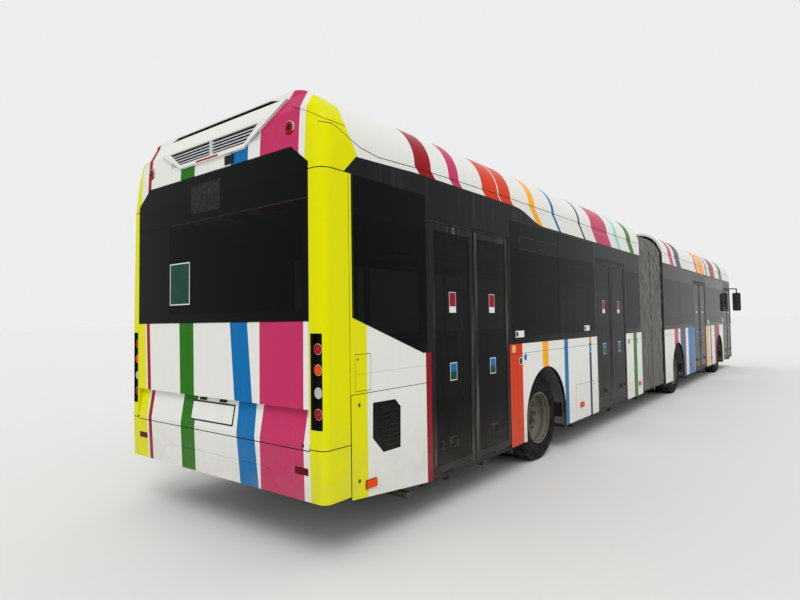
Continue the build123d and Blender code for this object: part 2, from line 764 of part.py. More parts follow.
def knuckle():
    """Left steering knuckle with kingpin, stub axle and track arm."""
    x = at(FRONT_AXLE)
    inner = KINGPIN + BOSS_RADIUS + 8
    pieces = [rod(KINGPIN_RADIUS, (x, KINGPIN, TYRE_RADIUS - LUG_TOP), (x, KINGPIN, TYRE_RADIUS + LUG_TOP))]
    for low in (TYRE_RADIUS - LUG_TOP, TYRE_RADIUS + BOSS_HALF + SEAT_GAP):
        high = low + LUG_TOP - BOSS_HALF - SEAT_GAP
        pieces.append(rod(BOSS_RADIUS, (x, KINGPIN, low), (x, KINGPIN, high)))
        pieces.append(block(FRONT_AXLE - 40, FRONT_AXLE + 40, KINGPIN, inner + 18, low, high))
    low, high = TYRE_RADIUS - LUG_TOP, TYRE_RADIUS + LUG_TOP
    pieces.append(block(FRONT_AXLE - 70, FRONT_AXLE + 70, inner, inner + 18, low, high))
    pieces.append(rod(AXLE_RADIUS, (x, inner, TYRE_RADIUS), (x, WHEEL_FACE - 55, TYRE_RADIUS)))
    ball = (x - TRACK_ARM, TRACK_BALL, TIE_ROD_HEIGHT)
    corner = (x - TRACK_ARM, TRACK_BALL, TYRE_RADIUS - LUG_TOP + 16)
    arm_top = (corner[0], corner[1], corner[2] + TRACK_ARM_RADIUS)
    arm_end = (ball[0], ball[1], ball[2] + TIE_ROD_RADIUS + EYE_RISE + 2)
    pieces.append(rod(TRACK_ARM_RADIUS, (x - 20, KINGPIN, corner[2]), corner))
    pieces.append(rod(TRACK_ARM_RADIUS, arm_top, arm_end))
    pieces.append(rod(BALL_PIN, corner, (ball[0], ball[1], ball[2] - TIE_ROD_RADIUS - 2 * EYE_RISE)))
    return fuse(pieces)


def tie_rod():
    """Rod between the two track arms, with a wide eye at its right end."""
    x = at(FRONT_AXLE) - TRACK_ARM
    z = TIE_ROD_HEIGHT
    bar = rod(TIE_ROD_RADIUS, (x, -TRACK_BALL, z), (x, TRACK_BALL, z))
    for side, bore in ((1, BALL_PIN + SEAT_GAP), (-1, BALL_PIN + OPEN_EYE)):
        low = (x, side * TRACK_BALL, z - TIE_ROD_RADIUS - EYE_RISE)
        high = (x, side * TRACK_BALL, z + TIE_ROD_RADIUS + EYE_RISE)
        bar = bar + rod(bore + EYE_WALL, low, high) - rod(bore, low, high)
    return bar


def wheel_housing(station, inner):
    """Arched wheel box on the right side, open to the wheel and to the road."""
    outer = Pos(at(station), ARCH_CENTRE) * Circle(HOUSING_HALF + HOUSING_SKIN)
    hollow = Pos(at(station), ARCH_CENTRE) * Circle(HOUSING_HALF)
    legs = (ARCH_CENTRE + FLOOR_UNDER) / 2
    outer += Pos(at(station), legs) * Rectangle(2 * (HOUSING_HALF + HOUSING_SKIN), ARCH_CENTRE - FLOOR_UNDER)
    hollow += Pos(at(station), legs) * Rectangle(2 * HOUSING_HALF, ARCH_CENTRE - FLOOR_UNDER)
    low = block(station - 700, station + 700, -INNER_HALF, INNER_HALF, -200, FLOOR_UNDER)
    shell = across(outer, -INNER_HALF, -inner) - low
    return shell, across(hollow, -INNER_HALF, -inner - HOUSING_SKIN) - low


def section_floor(rear, front, axles):
    """Floor plate of one section with its wheel boxes."""
    floor = block(rear, front, -INNER_HALF, INNER_HALF, FLOOR_UNDER, FLOOR_TOP)
    for station, inner in axles:
        shell, hollow = wheel_housing(station, inner)
        for made in (shell, mirrored(shell)):
            floor += made
        for cut in (hollow, mirrored(hollow)):
            floor -= cut
    return floor


def gangway_plate(way):
    """Floor plate that reaches from a section to the round gangway floor."""
    rim = GANGWAY_PLATE_HALF
    start = abs(PIVOT - (REAR_SECTION_END if way < 0 else FRONT_SECTION_START))
    plate = Pos(way * start / 2, 0) * Rectangle(start, 2 * rim) - Circle(DISC_RADIUS + DISC_GAP)
    return Pos(at(PIVOT), 0, 0) * upward(plate, FLOOR_UNDER, FLOOR_TOP)


def tow_lug(crossing, eye):
    """Plate from a cross member to a towing eye, with a round end."""
    station, height = eye
    plate = make_face(
        Polyline(
            (at(crossing), CROSSING_LOW),
            (at(station), height - TOW_LUG_RADIUS),
            (at(station), height + TOW_LUG_RADIUS),
            (at(crossing), FLOOR_UNDER),
            close=True,
        )
    )
    plate = plate + Pos(at(station), height) * Circle(TOW_LUG_RADIUS)
    plate = plate - Pos(at(station), height) * Circle(TOW_EYE_RADIUS)
    return across(plate, -TOW_LUG_WIDTH / 2, TOW_LUG_WIDTH / 2)


def underframe(rear, front, crossings, pads, lug):
    """Two rails with cross members and jacking pads, and the towing lug."""
    pieces = [lug]
    for side in (-1, 1):
        right, left = side * RAIL_MIDDLE - RAIL_HALF, side * RAIL_MIDDLE + RAIL_HALF
        pieces.append(block(rear, front, right, left, BEAM_HIGH + SEAT_GAP, FLOOR_UNDER))
        for station in pads:
            top = (at(station), side * RAIL_MIDDLE, FLOOR_UNDER)
            pieces.append(rod(PAD_RADIUS, (top[0], top[1], PAD_LOW), top))
    end = INNER_HALF - PANEL_GAP
    for station in crossings:
        edges = (station - CROSSING_HALF, station + CROSSING_HALF)
        pieces.append(block(*edges, -end, end, CROSSING_LOW, FLOOR_UNDER))
    return fuse(pieces)


def yoke(way, low, high, bore):
    """Round-ended plate under the gangway that ties a section to the turntable."""
    edge = REAR_SECTION_END if way < 0 else FRONT_SECTION_START
    reach = abs(edge - PIVOT) + 300
    plate = Circle(RACE_RADIUS) + Pos(way * reach / 2, 0) * Rectangle(reach, 2 * YOKE_HALF) - Circle(bore)
    return Pos(at(PIVOT), 0, 0) * upward(plate, low, high)


def bellows(start, end):
    """Pleated inverted U between two stations, ending in a valley at both."""
    pitch = (end - start) / PLEATS
    faces = []
    for step in range(2 * PLEATS + 1):
        depth = 0 if step % 2 else PLEAT_DEPTH
        half = HALF_WIDTH - 8 - depth
        radius = SHOULDER_RADIUS - depth
        face = hoop_face(half, BELLOWS_BOTTOM, BELLOWS_TOP - depth, radius, BELLOWS_THICKNESS)
        faces.append(Pos(at(start + step * pitch / 2), 0, 0) * (Plane.YZ * face))
    return loft(faces, ruled=True)


def gangway_frame(rear, front):
    """End frame of a section round the gangway opening."""
    face = inverted_u(HALF_WIDTH - 4, BELLOWS_BOTTOM, BELLOWS_TOP + 6, SHOULDER_RADIUS)
    opening = Rectangle(2 * GANGWAY_HALF, GANGWAY_TOP - BELLOWS_BOTTOM)
    face -= Pos(0, (BELLOWS_BOTTOM + GANGWAY_TOP) / 2) * opening
    return along(face, rear, front)


def seat(station, ground, middle, places):
    """Row of moulded seats that face forward, on a beam with two legs."""
    width = SEAT_WIDTH + (places - 1) * SEAT_SPACING
    shell_face = make_face(
        Polyline(
            (-190, -SEAT_SHELL),
            (215, -SEAT_SHELL),
            (235, -12),
            (222, 0),
            (-130, -16),
            (-172, 22),
            (-262, SEAT_BACK),
            (-290, SEAT_BACK),
            (-215, 20),
            close=True,
        )
    )
    height = ground + SEAT_HEIGHT
    pieces = []
    for place in range(places):
        y = middle + (place - (places - 1) / 2) * SEAT_SPACING
        shell = extrude(Plane.XZ * shell_face, SEAT_WIDTH / 2, both=True)
        shell = fillet(shell.edges().filter_by(Axis.X, tolerance=15).group_by(Axis.Z)[-1], SEAT_CORNER)
        pieces.append(Pos(at(station), y, height) * shell)
    beam_top = height - SEAT_SHELL
    sides = (middle - width / 2, middle + width / 2)
    pieces.append(block(station - 60, station + 60, *sides, beam_top - SEAT_BEAM, beam_top))
    for side in (-1, 1):
        y = middle + side * (width / 2 - SEAT_LEG_IN)
        pieces.append(rod(SEAT_LEG, (at(station), y, ground), (at(station), y, beam_top - SEAT_BEAM)))
        pieces.append(block(station - 110, station + 110, y - 40, y + 40, ground, ground + SEAT_FOOT))
    return fuse(pieces)


def seat_row(rows):
    """Double seats against the side walls."""
    middle = INNER_HALF - SEAT_WALL_GAP - (SEAT_WIDTH + SEAT_SPACING) / 2
    return [seat(station, FLOOR_TOP, side * middle, 2) for station, side in rows]


def pole_row(stations, side):
    """Grab poles from floor to ceiling with a rail from the first to the last."""
    poles = [
        rod(POLE_RADIUS, (at(station), side, FLOOR_TOP + SEAT_GAP), (at(station), side, CEILING - SEAT_GAP))
        for station in stations
    ]
    rail_ends = ((at(stations[0]), side, HANDRAIL_HEIGHT), (at(stations[-1]), side, HANDRAIL_HEIGHT))
    return fuse(poles + [rod(POLE_RADIUS, *rail_ends)])


def save(name, *pieces):
    """Write one named piece of the bus."""
    solids = [solid for piece in pieces for solid in piece.solids()]
    export_step(Compound(solids), f"parts/{name}.step")


os.makedirs("parts", exist_ok=True)

# Outer forms that the end panels, the roofs and the end glass are cut from
rear_form = rear_envelope(0)
front_form = front_envelope(0)
rear_shell = rear_form - rear_envelope(WALL)
front_shell = front_form - front_envelope(WALL)
rear_bed = rear_form - rear_envelope(GLASS + GLASS_BED)
front_bed = front_form - front_envelope(GLASS + GLASS_BED)
rear_skin = rear_form - rear_envelope(GLASS)
front_skin = front_form - front_envelope(GLASS)
rear_line = rear_form - rear_envelope(GROOVE_DEPTH)
front_line = front_form - front_envelope(GROOVE_DEPTH)
window_outline = make_face(
    Polyline(
        (-PILLAR_LINE, REAR_WINDOW_LOW),
        (-PILLAR_LINE, REAR_WINDOW_SHOULDER),
        (-PILLAR_LINE + REAR_WINDOW_CHAMFER, REAR_WINDOW_TOP),
        (PILLAR_LINE - REAR_WINDOW_CHAMFER, REAR_WINDOW_TOP),
        (PILLAR_LINE, REAR_WINDOW_SHOULDER),
        (PILLAR_LINE, REAR_WINDOW_LOW),
        close=True,
    )
)
window_bed = rear_bed & along(window_outline, 0, REAR_PANEL_END)

# Roofs, each with its shoulder covers, trough, closed head and roof units
low_front = block(WALL_FRONT, OVERALL_LENGTH, -HALF_WIDTH, HALF_WIDTH, CEILING, ROOF_JOINT)
low_rear = block(0, WALL_REAR, -HALF_WIDTH, HALF_WIDTH, CEILING, ROOF_JOINT)
front_head = along(head_face(0), FRONT_HEAD_START, OVERALL_LENGTH)
front_roof = (along(roof_face(0), FRONT_SECTION_START, OVERALL_LENGTH) + front_head) & front_form
front_hollow = along(roof_face(ROOF_SKIN), FRONT_SECTION_START, WALL_FRONT - ROOF_SKIN)
front_hollow += along(head_face(ROOF_SKIN), FRONT_HEAD_START + ROOF_SKIN, OVERALL_LENGTH)
front_roof = front_roof - low_front - (front_hollow & front_envelope(ROOF_SKIN))
rear_head = along(head_face(0), 0, REAR_HEAD_END)
rear_roof = (along(roof_face(0), 0, REAR_SECTION_END) + rear_head) & rear_form

# Fascia over the rear window: raised frame, slats, air slot and lamp seats
right_edge = [(-half, height) for half, height in FRAME_CORNERS[::-1]]
frame_outline = make_face(Polyline(*FRAME_CORNERS, *right_edge, close=True))
frame_side = make_face(Polyline(*[(at(station), height) for station, height in FRAME_FACE], close=True))
rear_roof += across(frame_side, -HALF_WIDTH, HALF_WIDTH) & along(frame_outline, 0, REAR_PANEL_END)
rear_hollow = along(roof_face(ROOF_SKIN), WALL_REAR + ROOF_SKIN, REAR_SECTION_END)
rear_hollow += along(head_face(ROOF_SKIN), 0, REAR_HEAD_END - ROOF_SKIN)
rear_roof = rear_roof - low_rear - (rear_hollow & rear_envelope(ROOF_SKIN))
slat_field = make_face(
    Polyline(
        (-SLATS_LOW[0], SLATS_LOW[1]),
        (-SLATS_HIGH[0], SLATS_HIGH[1]),
        (SLATS_HIGH[0], SLATS_HIGH[1]),
        (SLATS_LOW[0], SLATS_LOW[1]),
        close=True,
    )
)
slat_pocket = along(slat_field, -PANEL_GAP, SLATS_DEPTH)
pitch = (SLATS_HIGH[1] - SLATS_LOW[1]) / (SLATS + 1)
slats = [block(SLAT_REAR, SLATS_DEPTH, -CENTRE_RIB / 2, CENTRE_RIB / 2, SLATS_LOW[1], SLATS_HIGH[1])]
for number in range(SLATS):
    low = SLATS_LOW[1] + (number + 1) * pitch - SLAT_THICKNESS
    slat = make_face(
        Polyline(
            (at(SLAT_REAR), low),
            (at(SLATS_DEPTH), low + SLAT_RISE),
            (at(SLATS_DEPTH), low + SLAT_RISE + SLAT_THICKNESS),
            (at(SLAT_REAR), low + SLAT_THICKNESS),
            close=True,
        )
    )
    slats.append(across(slat, -SLATS_HIGH[0], SLATS_HIGH[0]) & slat_pocket)
air_slot = make_face(
    Polyline(
        (-AIR_SLOT_LOW[0], AIR_SLOT_LOW[1]),
        (-AIR_SLOT_HIGH[0], AIR_SLOT_HIGH[1]),
        (AIR_SLOT_HIGH[0], AIR_SLOT_HIGH[1]),
        (AIR_SLOT_LOW[0], AIR_SLOT_LOW[1]),
        close=True,
    )
)
rear_roof = rear_roof - slat_pocket - along(air_slot, -PANEL_GAP, AIR_SLOT_DEPTH) - window_bed
rear_roof = fuse([rear_roof] + slats)
strip_right, strip_left, strip_low, strip_high = BRAKE_STRIP
rear_roof -= block(-PANEL_GAP, BRAKE_STRIP_DEPTH, strip_right, strip_left, strip_low, strip_high)
high_lamps = []
for side in (-1, 1):
    y = side * HIGH_LAMP[0]
    foot = (at(HIGH_LAMP_DEPTH), y, HIGH_LAMP[1])
    rear_roof -= rod(HIGH_LAMP_RADIUS, (at(-PANEL_GAP), y, HIGH_LAMP[1]), foot)
    lens = rod(HIGH_LAMP_RADIUS - PANEL_GAP, foot, (at(HIGH_LAMP_FRONT), y, HIGH_LAMP[1]))
    high_lamps.append(fillet(lens.edges().group_by(Axis.X)[0], LENS_ROUND))
pod = block(GROOVE_DEPTH, ROOF_SKIN, *CAMERA_POD)
rear_roof += chamfer(pod.edges().group_by(Axis.X)[0], PANEL_GAP)

# Parting lines of the shoulder covers
gap_core = rear_envelope(COVER_GAP_DEPTH) & along(head_face(COVER_GAP_DEPTH), 0, REAR_SECTION_END)
gap_points = [(at(station), height) for station, height in COVER_GAP]
gap_points.append((at(REAR_SECTION_END), SIDE_GAP_HEIGHT))
side_gap = across(ribbon(gap_points, PANEL_GAP), -HALF_WIDTH, -HALF_WIDTH + SHOULDER_RADIUS / 6)
corner_gap = along(ribbon(CORNER_GAP, PANEL_GAP + 2), 0, REAR_PANEL_END)
cover_gap = (side_gap + corner_gap) - gap_core
rear_roof = rear_roof - cover_gap - mirrored(cover_gap)
for right, left in ((-HALF_WIDTH, -HALF_WIDTH + GROOVE_DEPTH), (HALF_WIDTH - GROOVE_DEPTH, HALF_WIDTH)):
    front_roof -= block(
        FRONT_SECTION_START, FRONT_MASK_START, right, left, SIDE_GAP_HEIGHT - PANEL_GAP, SIDE_GAP_HEIGHT
    )
save("front_roof", fuse([front_roof] + [roof_unit(*row[1:]) for row in FRONT_ROOF_UNITS]))
save("rear_roof", fuse([rear_roof] + [roof_unit(*row[1:]) for row in REAR_ROOF_UNITS]))

# Side walls and their glass
save(
    "front_right_wall",
    side_wall(FRONT_SECTION_START, WALL_FRONT, RIGHT_WINDOWS_FRONT, (MIDDLE_AXLE, FRONT_AXLE), DOORS[2:]),
)
save(
    "front_left_wall",
    mirrored(side_wall(FRONT_SECTION_START, WALL_FRONT, LEFT_WINDOWS_FRONT, (MIDDLE_AXLE, FRONT_AXLE), ())),
)
tail_slope = across(
    make_face(
        Polyline(
            (at(0), 0),
            (at(HATCH_FRONT), 0),
            (at(HATCH_FRONT), SKIRT_BOTTOM),
            (at(0), BUMPER_BOTTOM),
            close=True,
        )
    ),
    -HALF_WIDTH,
    HALF_WIDTH,
)
hatch_hole = block(WALL_REAR, HATCH_FRONT, -HALF_WIDTH, -INNER_HALF, 0, HATCH_TOP)
quarter_face = make_face(
    Polyline(
        (at(WALL_REAR), WINDOW_SILL),
        (at(WALL_REAR), WINDOW_SILL + QUARTER_RISE),
        (at(QUARTER_END), WINDOW_SILL),
        close=True,
    )
)
quarter_fill = across(quarter_face, -HALF_WIDTH, -INNER_HALF)
quarter_gap = quarter_fill + Pos(0, 0, GLASS) * quarter_fill
rear_right_wall = side_wall(WALL_REAR, REAR_SECTION_END, RIGHT_WINDOWS_REAR, (REAR_AXLE,), DOORS[:2])
rear_right_wall = rear_right_wall - hatch_hole + quarter_fill
rear_right_wall -= panel_edge(*FLAP)
for rear_edge, front_edge, flap_top in SKIRT_FLAPS:
    rear_right_wall -= panel_edge(rear_edge, front_edge + GROOVE, SKIRT_BOTTOM - GROOVE, flap_top)
rear_right_wall -= pressed(REAR_RIGHT_JOINT, REAR_RIGHT_JOINT + GROOVE, SKIRT_BOTTOM, WINDOW_SILL)
save("rear_right_wall", rear_right_wall)
rear_left_wall = side_wall(WALL_REAR, REAR_SECTION_END, LEFT_WINDOWS_REAR, (REAR_AXLE,), ())
rear_left_wall = rear_left_wall.cut(*louvre(*RADIATOR, RADIATOR_SLATS))
save("rear_left_wall", mirrored(rear_left_wall) - tail_slope)
front_panes = side_glass(RIGHT_WINDOWS_FRONT) + [mirrored(pane) for pane in side_glass(LEFT_WINDOWS_FRONT)]
save("front_side_glass", *front_panes)
rear_panes = [pane - quarter_gap for pane in side_glass(RIGHT_WINDOWS_REAR)]
save("rear_side_glass", *rear_panes, *[mirrored(pane) for pane in side_glass(LEFT_WINDOWS_REAR)])
hatch = block(
    WALL_REAR + PANEL_GAP, HATCH_FRONT - SEAT_GAP, -HALF_WIDTH, -INNER_HALF, 0, HATCH_TOP - PANEL_GAP
)
grille_face = make_face(Polyline(*[(at(station), height) for station, height in HATCH_GRILLE], close=True))
grille = across(grille_face, -HALF_WIDTH, -HALF_WIDTH + HATCH_GRILLE_DEPTH)
hatch = hatch - tail_slope - grille
grille_low = min(height for _, height in HATCH_GRILLE)
grille_high = max(height for _, height in HATCH_GRILLE)
slats = [
    grille & block(0, HATCH_FRONT, -HALF_WIDTH + GROOVE_DEPTH, -INNER_HALF, low, low + HATCH_SLAT)
    for low in range(grille_low + HATCH_SLAT_PITCH, grille_high, HATCH_SLAT_PITCH)
]
save("right_hatch", fuse([hatch] + slats))

# Rear end
rear_panel = rear_shell & block(0, REAR_PANEL_END, -HALF_WIDTH, HALF_WIDTH, BUMPER_BOTTOM, ROOF_JOINT)
rear_panel -= block(0, 200, -PILLAR_LINE, PILLAR_LINE, LID_BOTTOM, REAR_WINDOW_LOW)
rear_panel -= window_bed
rear_panel -= block(0, 200, -PILLAR_LINE + 60, PILLAR_LINE - 60, REAR_WINDOW_LOW + 80, APERTURE_TOP + 20)
trapezoid = along(ribbon(TRAPEZOID, PANEL_GAP), 0, WALL)
pillar_joint = block(0, REAR_PANEL_END, PILLAR_LINE, HALF_WIDTH, PILLAR_JOINT, PILLAR_JOINT + GROOVE)
rear_panel -= rear_line & (trapezoid + pillar_joint + mirrored(pillar_joint))
pocket_back = block(
    WALL - PANEL_GAP,
    TAIL_POCKET_BACK,
    TAIL_POCKET_IN - TAIL_POCKET_SKIN,
    TAIL_POCKET_OUT,
    TAIL_POCKET_LOW - TAIL_POCKET_SKIN,
    TAIL_POCKET_HIGH + TAIL_POCKET_SKIN,
)
pocket = block(
    -PANEL_GAP, TAIL_POCKET_DEPTH, TAIL_POCKET_IN, TAIL_POCKET_OUT, TAIL_POCKET_LOW, TAIL_POCKET_HIGH
)
plate = block(
    TAIL_POCKET_DEPTH - TAIL_PLATE,
    TAIL_POCKET_DEPTH,
    TAIL_POCKET_IN + PANEL_GAP,
    TAIL_POCKET_OUT - PANEL_GAP,
    TAIL_POCKET_LOW + 4 * PANEL_GAP,
    TAIL_POCKET_HIGH - 4 * PANEL_GAP,
)
for height in TAIL_LAMP_HEIGHTS:
    start = (at(TAIL_POCKET_DEPTH - TAIL_PLATE), TAIL_LAMP_OUT, height)
    lens = rod(TAIL_LAMP_RADIUS, start, (at(TAIL_LAMP_FRONT), TAIL_LAMP_OUT, height))
    plate += fillet(lens.edges().group_by(Axis.X)[0], LENS_ROUND)
rear_panel = rear_panel + pocket_back + mirrored(pocket_back) - pocket - mirrored(pocket)
save("rear_end_panel", rear_panel)
brake_strip = block(
    GROOVE_DEPTH,
    BRAKE_STRIP_DEPTH,
    strip_right + SEAT_GAP,
    strip_left - SEAT_GAP,
    strip_low + SEAT_GAP,
    strip_high - SEAT_GAP,
)
save("tail_lamps", plate, mirrored(plate), *high_lamps, brake_strip)
pane = rear_skin & along(offset(window_outline, -PANEL_GAP, kind=Kind.INTERSECTION), 0, REAR_PANEL_END)
lines = block(0, WALL, -PILLAR_LINE, PILLAR_LINE, WINDOW_LINE_HEIGHT, WINDOW_LINE_HEIGHT + GROOVE)
lines += block(0, WALL, WINDOW_LINE_SIDE, WINDOW_LINE_SIDE + GROOVE, REAR_WINDOW_LOW, WINDOW_LINE_HEIGHT)
save("rear_window", pane - (rear_line & lines))
lid_low = LID_BOTTOM + PANEL_GAP
lid_high = REAR_WINDOW_LOW - SEAT_GAP
lid_side = make_face(
    Polyline(
        (at(0), lid_high),
        (at(0), LID_STEP),
        (at(LID_RECESS), LID_STEP - 8),
        (at(0), LID_FLUSH),
        (at(0), lid_low),
        (at(LID_HEEL), lid_low),
        (at(WALL), lid_low + LID_HEEL),
        (at(WALL + LID_RECESS), LID_STEP - LID_HEEL),
        (at(WALL + LID_RECESS), LID_STEP + LID_HEEL),
        (at(WALL), LID_STEP + LID_HEEL + LID_RECESS),
        (at(WALL), lid_high),
        close=True,
    )
)
save("engine_lid", across(lid_side, -PILLAR_LINE + PANEL_GAP, PILLAR_LINE - PANEL_GAP))

# Front end
front_zone = (FRONT_MASK_START, OVERALL_LENGTH)
mask = front_shell & block(*front_zone, -HALF_WIDTH, HALF_WIDTH, SKIRT_BOTTOM, ROOF_JOINT)
screen_half = HALF_WIDTH - 70
screen_zone = (FRONT_MASK_START + 60, OVERALL_LENGTH)
mask -= front_bed & block(*screen_zone, -screen_half, screen_half, SCREEN_LOW, ROOF_JOINT - 20)
mask -= block(*screen_zone, -screen_half + 60, screen_half - 60, SCREEN_LOW + 60, ROOF_JOINT - 80)
lamp_bed = block(*front_zone, HEADLAMP_IN, HEADLAMP_OUT, HEADLAMP_LOW, HEADLAMP_HIGH)
mask -= front_bed & (lamp_bed + mirrored(lamp_bed))
mask -= front_line & block(*front_zone, -HEADLAMP_IN, HEADLAMP_IN, BUMPER_LINE, BUMPER_LINE + GROOVE)
slots = []
for number in range(INTAKE_SLOTS):
    low = INTAKE_LOW + number * INTAKE_PITCH
    slots.append(block(CAB_FRONT, OVERALL_LENGTH, -INTAKE_HALF, INTAKE_HALF, low, low + INTAKE_SLOT))
save("front_mask", mask.cut(*slots))
screen = block(
    FRONT_MASK_START + 60 + PANEL_GAP,
    OVERALL_LENGTH,
    -screen_half + PANEL_GAP,
    screen_half - PANEL_GAP,
    SCREEN_LOW + PANEL_GAP,
    ROOF_JOINT - 20 - PANEL_GAP,
)
save("windscreen", front_skin & screen)

# Floors, engine and underframes
front_floor = section_floor(
    FRONT_SECTION_START, WALL_FRONT, ((MIDDLE_AXLE, TWIN_HOUSING_INNER), (FRONT_AXLE, STEERED_HOUSING_INNER))
)
save("front_floor", front_floor + gangway_plate(1))
rear_floor = section_floor(WALL_REAR, REAR_SECTION_END, ((REAR_AXLE, TWIN_HOUSING_INNER),))
rear_floor += gangway_plate(-1)
tower_inner = TOWER_RIGHT + TOWER_SKIN
tower_end = TOWER_FRONT - TOWER_SKIN
step_end = STEP_FRONT - TOWER_SKIN
step_low = STEP_TOP - TOWER_SKIN
rear_floor += block(WALL_REAR, TOWER_FRONT, TOWER_RIGHT, INNER_HALF, FLOOR_UNDER, TOWER_TOP)
rear_floor += block(WALL_REAR, STEP_FRONT, -INNER_HALF, TOWER_RIGHT, FLOOR_UNDER, STEP_TOP)
rear_floor -= block(WALL_REAR, tower_end, tower_inner, INNER_HALF, FLOOR_UNDER, TOWER_TOP - TOWER_SKIN)
rear_floor -= block(WALL_REAR, step_end, -INNER_HALF, tower_inner, FLOOR_UNDER, step_low)
save("rear_floor", rear_floor)
sides = (ENGINE_RIGHT, ENGINE_LEFT)
engine = [
    block(ENGINE_REAR, ENGINE_FRONT, *sides, ENGINE_TAIL_LOW, ENGINE_SHOULDER),
    block(REAR_RAILS_START, ENGINE_FRONT, *sides, FLOOR_UNDER + SEAT_GAP, ENGINE_TAIL_LOW),
    block(*HEAD_COVER, ENGINE_SHOULDER, ENGINE_TOP),
]
for y, z, radius in PULLEYS:
    engine.append(rod(radius, (at(PULLEY_REAR), y, z), (at(ENGINE_REAR), y, z)))
rib_top = (ENGINE_SHOULDER + ENGINE_TOP) / 2
for station in ENGINE_RIBS:
    engine.append(block(station, station + ENGINE_RIB, *sides, ENGINE_SHOULDER, rib_top))
save("engine", fuse(engine))
front_lug = tow_lug(FRONT_CROSSINGS[-1], FRONT_TOW_EYE)
front_frame = underframe(FRONT_SECTION_START, FRONT_RAILS_END, FRONT_CROSSINGS, FRONT_PADS, front_lug)
save("front_underframe", front_frame + yoke(1, YOKE_LOW, RACE_LOW - SEAT_GAP, 60))
rear_lug = tow_lug(REAR_CROSSINGS[0], REAR_TOW_EYE)
rear_frame = underframe(REAR_RAILS_START, REAR_SECTION_END, REAR_CROSSINGS, REAR_PADS, rear_lug)
save("rear_underframe", rear_frame + yoke(-1, RACE_HIGH + SEAT_GAP, YOKE_HIGH, POST_ROUND + 4))

# Gangway
pivot_x = at(PIVOT)
turntable = rod(RACE_RADIUS, (pivot_x, 0, RACE_LOW), (pivot_x, 0, RACE_HIGH))
turntable += rod(DISC_RADIUS, (pivot_x, 0, FLOOR_UNDER + 8), (pivot_x, 0, FLOOR_TOP))
turntable += rod(POST_ROUND, (pivot_x, 0, RACE_HIGH), (pivot_x, 0, FLOOR_TOP))
hoop_half = HALF_WIDTH - 8
turntable += block(PIVOT - 40, PIVOT + 40, -hoop_half, hoop_half, FLOOR_UNDER + 8, FLOOR_TOP)
save("turntable", turntable)
hoop = hoop_face(hoop_half, FLOOR_TOP, BELLOWS_TOP, SHOULDER_RADIUS, HOOP_THICKNESS)
save("centre_hoop", along(hoop, PIVOT - HOOP_WIDTH / 2, PIVOT + HOOP_WIDTH / 2))
save("rear_bellows", bellows(REAR_SECTION_END + REAR_FRAME_DEPTH, PIVOT - HOOP_WIDTH / 2))
save("front_bellows", bellows(PIVOT + HOOP_WIDTH / 2, FRONT_SECTION_START - FRONT_FRAME_DEPTH))
save("rear_gangway_frame", gangway_frame(REAR_SECTION_END, REAR_SECTION_END + REAR_FRAME_DEPTH))
save("front_gangway_frame", gangway_frame(FRONT_SECTION_START - FRONT_FRAME_DEPTH, FRONT_SECTION_START))

# Axles, steering and wheels
axle = portal_axle(FRONT_AXLE, FRONT_UPRIGHT - 50, FRONT_UPRIGHT, FRONT_UPRIGHT_HALF, 0)
for side in (-1, 1):
    x, y = at(FRONT_AXLE), side * KINGPIN
    axle += kingpin_boss(side)
    axle -= rod(KINGPIN_RADIUS + SEAT_GAP, (x, y, 0), (x, y, OVERALL_HEIGHT))
save("front_axle", axle)
twin_axle = (TWIN_UPRIGHT_IN, TWIN_UPRIGHT_OUT, BEAM_HALF, TWIN_STUB_END)
save("middle_axle", portal_axle(MIDDLE_AXLE, *twin_axle))
drive_ends = [(at(REAR_AXLE + side * DRIVE_LENGTH / 2), DRIVE_OFFSET, DRIVE_HEIGHT) for side in (-1, 1)]
save("rear_axle", portal_axle(REAR_AXLE, *twin_axle) + rod(DRIVE_HOUSING, *drive_ends))
left_knuckle = knuckle()
save("left_knuckle", left_knuckle)
save("right_knuckle", mirrored(left_knuckle))
save("tie_rod", tie_rod())
for name, station, face, twin in (
    ("front", FRONT_AXLE, WHEEL_FACE, False),
    ("middle", MIDDLE_AXLE, TWIN_FACE, True),
    ("rear", REAR_AXLE, TWIN_FACE, True),
):
    right_wheel = wheel(station, face, twin)
    save(f"{name}_right_wheel", right_wheel)
    save(f"{name}_left_wheel", mirrored(right_wheel))

# Doors
for name, rear_edge, front_edge in DOORS:
    for half, hinge_front in (("rear", False), ("front", True)):
        post, leaf = door_half(rear_edge, front_edge, hinge_front)
        save(f"{name}_{half}_post", post)
        save(f"{name}_{half}_leaf", leaf)

# Seats, grab poles and rails
front_poles = [pole_row(FRONT_LEFT_POLES, POLE_LEFT), pole_row(FRONT_RIGHT_POLES, POLE_RIGHT)]
save("front_seats_and_poles", *seat_row(FRONT_SEATS), *front_poles)
rear_poles = [pole_row(REAR_LEFT_POLES, POLE_LEFT), pole_row(REAR_RIGHT_POLES, POLE_RIGHT)]
bench_room = TOWER_RIGHT + INNER_HALF - 2 * SEAT_WALL_GAP
bench_places = int((bench_room - SEAT_WIDTH) / SEAT_SPACING) + 1
bench_half = (SEAT_WIDTH + (bench_places - 1) * SEAT_SPACING) / 2
bench = seat(BENCH_STATION, STEP_TOP, bench_half + SEAT_WALL_GAP - INNER_HALF, bench_places)
save("rear_seats_and_poles", *seat_row(REAR_SEATS), bench, *rear_poles)

